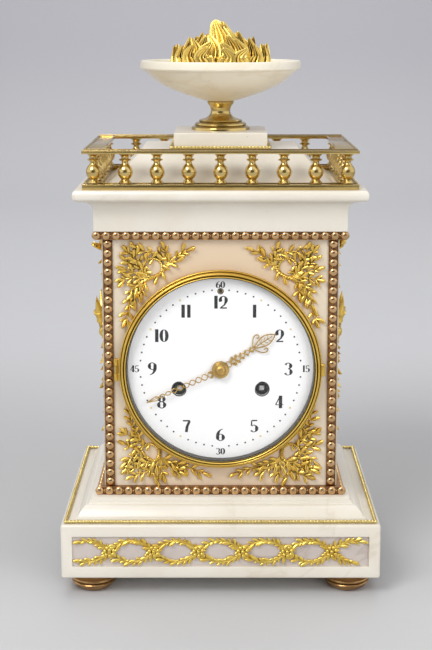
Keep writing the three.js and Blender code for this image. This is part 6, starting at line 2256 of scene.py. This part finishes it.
@dataclass
class RearDoor:
    """The round brass door behind the movement and the ring that it shuts on."""

    workshop: Workshop
    thick: float = 1.6
    knuckle: float = 1.6
    pin_bore: float = 0.9
    bore: float = 48.6
    knuckles: Profile = ((-8.4, -3.3), (3.3, 8.4))
    knob: Profile = (
        (0, -0.4), (2.4, -0.4), (2.4, 0.4), (1.6, 0.8), (1.3, 1.6), (1.5, 2.2), (2.5, 2.8), (2.9, 3.6),
        (2.5, 4.4), (1.4, 4.85), (0, 4.95),
    )

    def plate(self, radius: float) -> Form:
        """Turn the door with a raised rim and two turned lines.

        Args:
            radius: The door's radius.

        Returns:
            The door, lying flat with its outside up.
        """
        top = self.thick
        profile = [
            (0, 0), (radius, 0), (radius, top - 0.5), (radius - 0.5, top), (radius - 3.2, top),
            (radius - 3.8, top - 0.6), (radius - 6.4, top - 0.6), (radius - 7.0, top - 0.15),
            (17.6, top - 0.15), (17.2, top - 0.5), (16.2, top - 0.5), (15.8, top - 0.15), (0, top - 0.15),
        ]
        return Form.turned(profile, 128)

    def build(self) -> None:
        """Hang the door and lay the bead round it."""
        span = Span.of("back_door")
        middle = Span.of("dial").centre
        radius = 0.99 * span.size.z / 2
        hinge_x = span.high.x - self.knuckle
        front = span.low.y + self.knuckle / 2
        door = self.plate(radius).placed(backward(middle.x, front, middle.z))
        for low, high in self.knuckles:
            barrel = Form.tube(self.pin_bore, self.knuckle, low, high, 28)
            door.add(barrel, moved(hinge_x, front + self.knuckle / 2, middle.z))
            leaf_low = (middle.x + radius - 2.4, front + 0.2, middle.z + low)
            leaf_high = (hinge_x - self.pin_bore - 0.3, front + self.thick + 0.3, middle.z + high)
            door.add(Form.block(leaf_low, leaf_high, 0.2))
        door.add(Form.turned(self.knob, 32), backward(middle.x - 0.86 * radius, front + self.thick, middle.z))
        self.workshop.piece("rear_door_plate", door, Finish.DOOR_BRASS, "brass", "rear_door", ["back_door"])
        edge = radius + 2.7
        bead = [
            (self.bore, -0.2), (edge, 0), (edge, 1.2), (edge - 0.4, 1.65), (edge - 1.8, 1.75),
            (edge - 2.2, 1.68), (self.bore + 0.4, 1.68), (self.bore, 1.3),
        ]
        seat = Span.of("back_panel").high.y
        ring = Form.turned(bead, 128, True).placed(backward(middle.x, seat, middle.z))
        self.workshop.piece("rear_door_seat", ring, Finish.DOOR_BRASS, "brass")


@dataclass
class Movement:
    """The works behind the dial: a turned bell and pendulum, and the rest in its CAD shapes."""

    workshop: Workshop
    bell_wall: float = 2.0
    bell_bore: float = 2.3
    bell_curve: Profile = (
        (1.0, 0), (0.99, 0.12), (0.965, 0.3), (0.9, 0.52), (0.8, 0.71), (0.67, 0.86), (0.52, 0.96),
        (0.4, 1.0),
    )
    eye_radius: float = 4.2
    eye_bore: float = 2.2
    rod_radius: float = 1.1
    bob_drop: float = 110.0
    bob_radius: float = 20.7

    def bell(self) -> None:
        """Turn the bell."""
        span = Span.of("bell")
        radius = 0.985 * span.size.x / 2
        deep = span.size.y
        inside = radius - self.bell_wall
        hollow = deep - self.bell_wall
        profile = [(radius * out, deep * up) for out, up in self.bell_curve]
        profile += [(self.bell_bore, deep), (self.bell_bore, hollow)]
        profile += [(inside * out, hollow * up) for out, up in reversed(self.bell_curve)]
        form = Form.turned(profile, 72, True)
        form.placed(backward(span.centre.x, span.low.y, span.centre.z))
        self.workshop.piece("bell_cup", form, Finish.BELL, "bell_metal", nodes=["bell"])

    def pendulum(self) -> None:
        """Turn the pendulum's lens, rod, eye and nut."""
        span = Span.of("pendulum")
        pivot = span.high.z - self.eye_radius
        x, y = span.centre.x, span.centre.y
        half = span.size.y / 2
        shares = [step / 12 for step in range(13)]
        face = [(self.bob_radius * share, half * (1 - 0.8 * share ** 2)) for share in shares]
        lens = face + [(out, -up) for out, up in reversed(face)]
        top = -self.bob_drop - self.bob_radius - 0.6
        nut = [(0, top - 3), (2.6, top - 3), (3, top - 2.6), (3, top - 0.4), (2.6, top), (0, top)]
        form = Form.tube(self.eye_bore, self.eye_radius, -1.6, 1.6, 40).placed(facing(x, y, pivot))
        form.add(Form.turned(lens, 72), facing(x, y, pivot - self.bob_drop))
        form.add(Form.tube(0, self.rod_radius, span.low.z - pivot, -3.2, 20), moved(x, y, pivot))
        form.add(Form.turned(nut, 32), moved(x, y, pivot))
        self.workshop.piece("pendulum_lens", form, Finish.DOOR_BRASS, "brass", "swing", ["pendulum"])

    def build(self) -> None:
        """Turn what shows when the door is open and give every wheel, plate and arbor its metal."""
        self.bell()
        self.pendulum()
        self.workshop.repaint(
            Finish.BRASS,
            "front_plate", "back_plate", "going_barrel", "strike_barrel", "second_wheel", "third_wheel",
            "centre_arbor", "hour_wheel", "minute_wheel", "escape_wheel", "count_wheel", "back_cock",
            "dial_ring", "back_ring",
        )
        self.workshop.repaint(Finish.STEEL, "pallets", "hammer")
        self.workshop.repaint(Finish.WORN_STEEL, "going_arbor", "strike_arbor")
        # Painted shade: the regulator arbor is near-black, so that its hole shows dark.
        self.workshop.repaint(Finish.DARK, "regulator_arbor")


def main() -> None:
    """Build the clock's looks on the frame."""
    logging.basicConfig(level=logging.INFO, format="%(name)s %(message)s")
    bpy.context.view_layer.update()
    workshop = Workshop()
    assemblies = (
        Studio, Feet, Stonework, Ropes, BeadFrame, Gallery, Urn, CornerSprays, Frieze, SideTrophies,
        Dial, Hands, Bezel, RearDoor, Movement,
    )
    for assembly in assemblies:
        assembly(workshop).build()


if __name__ == "__main__":
    main()
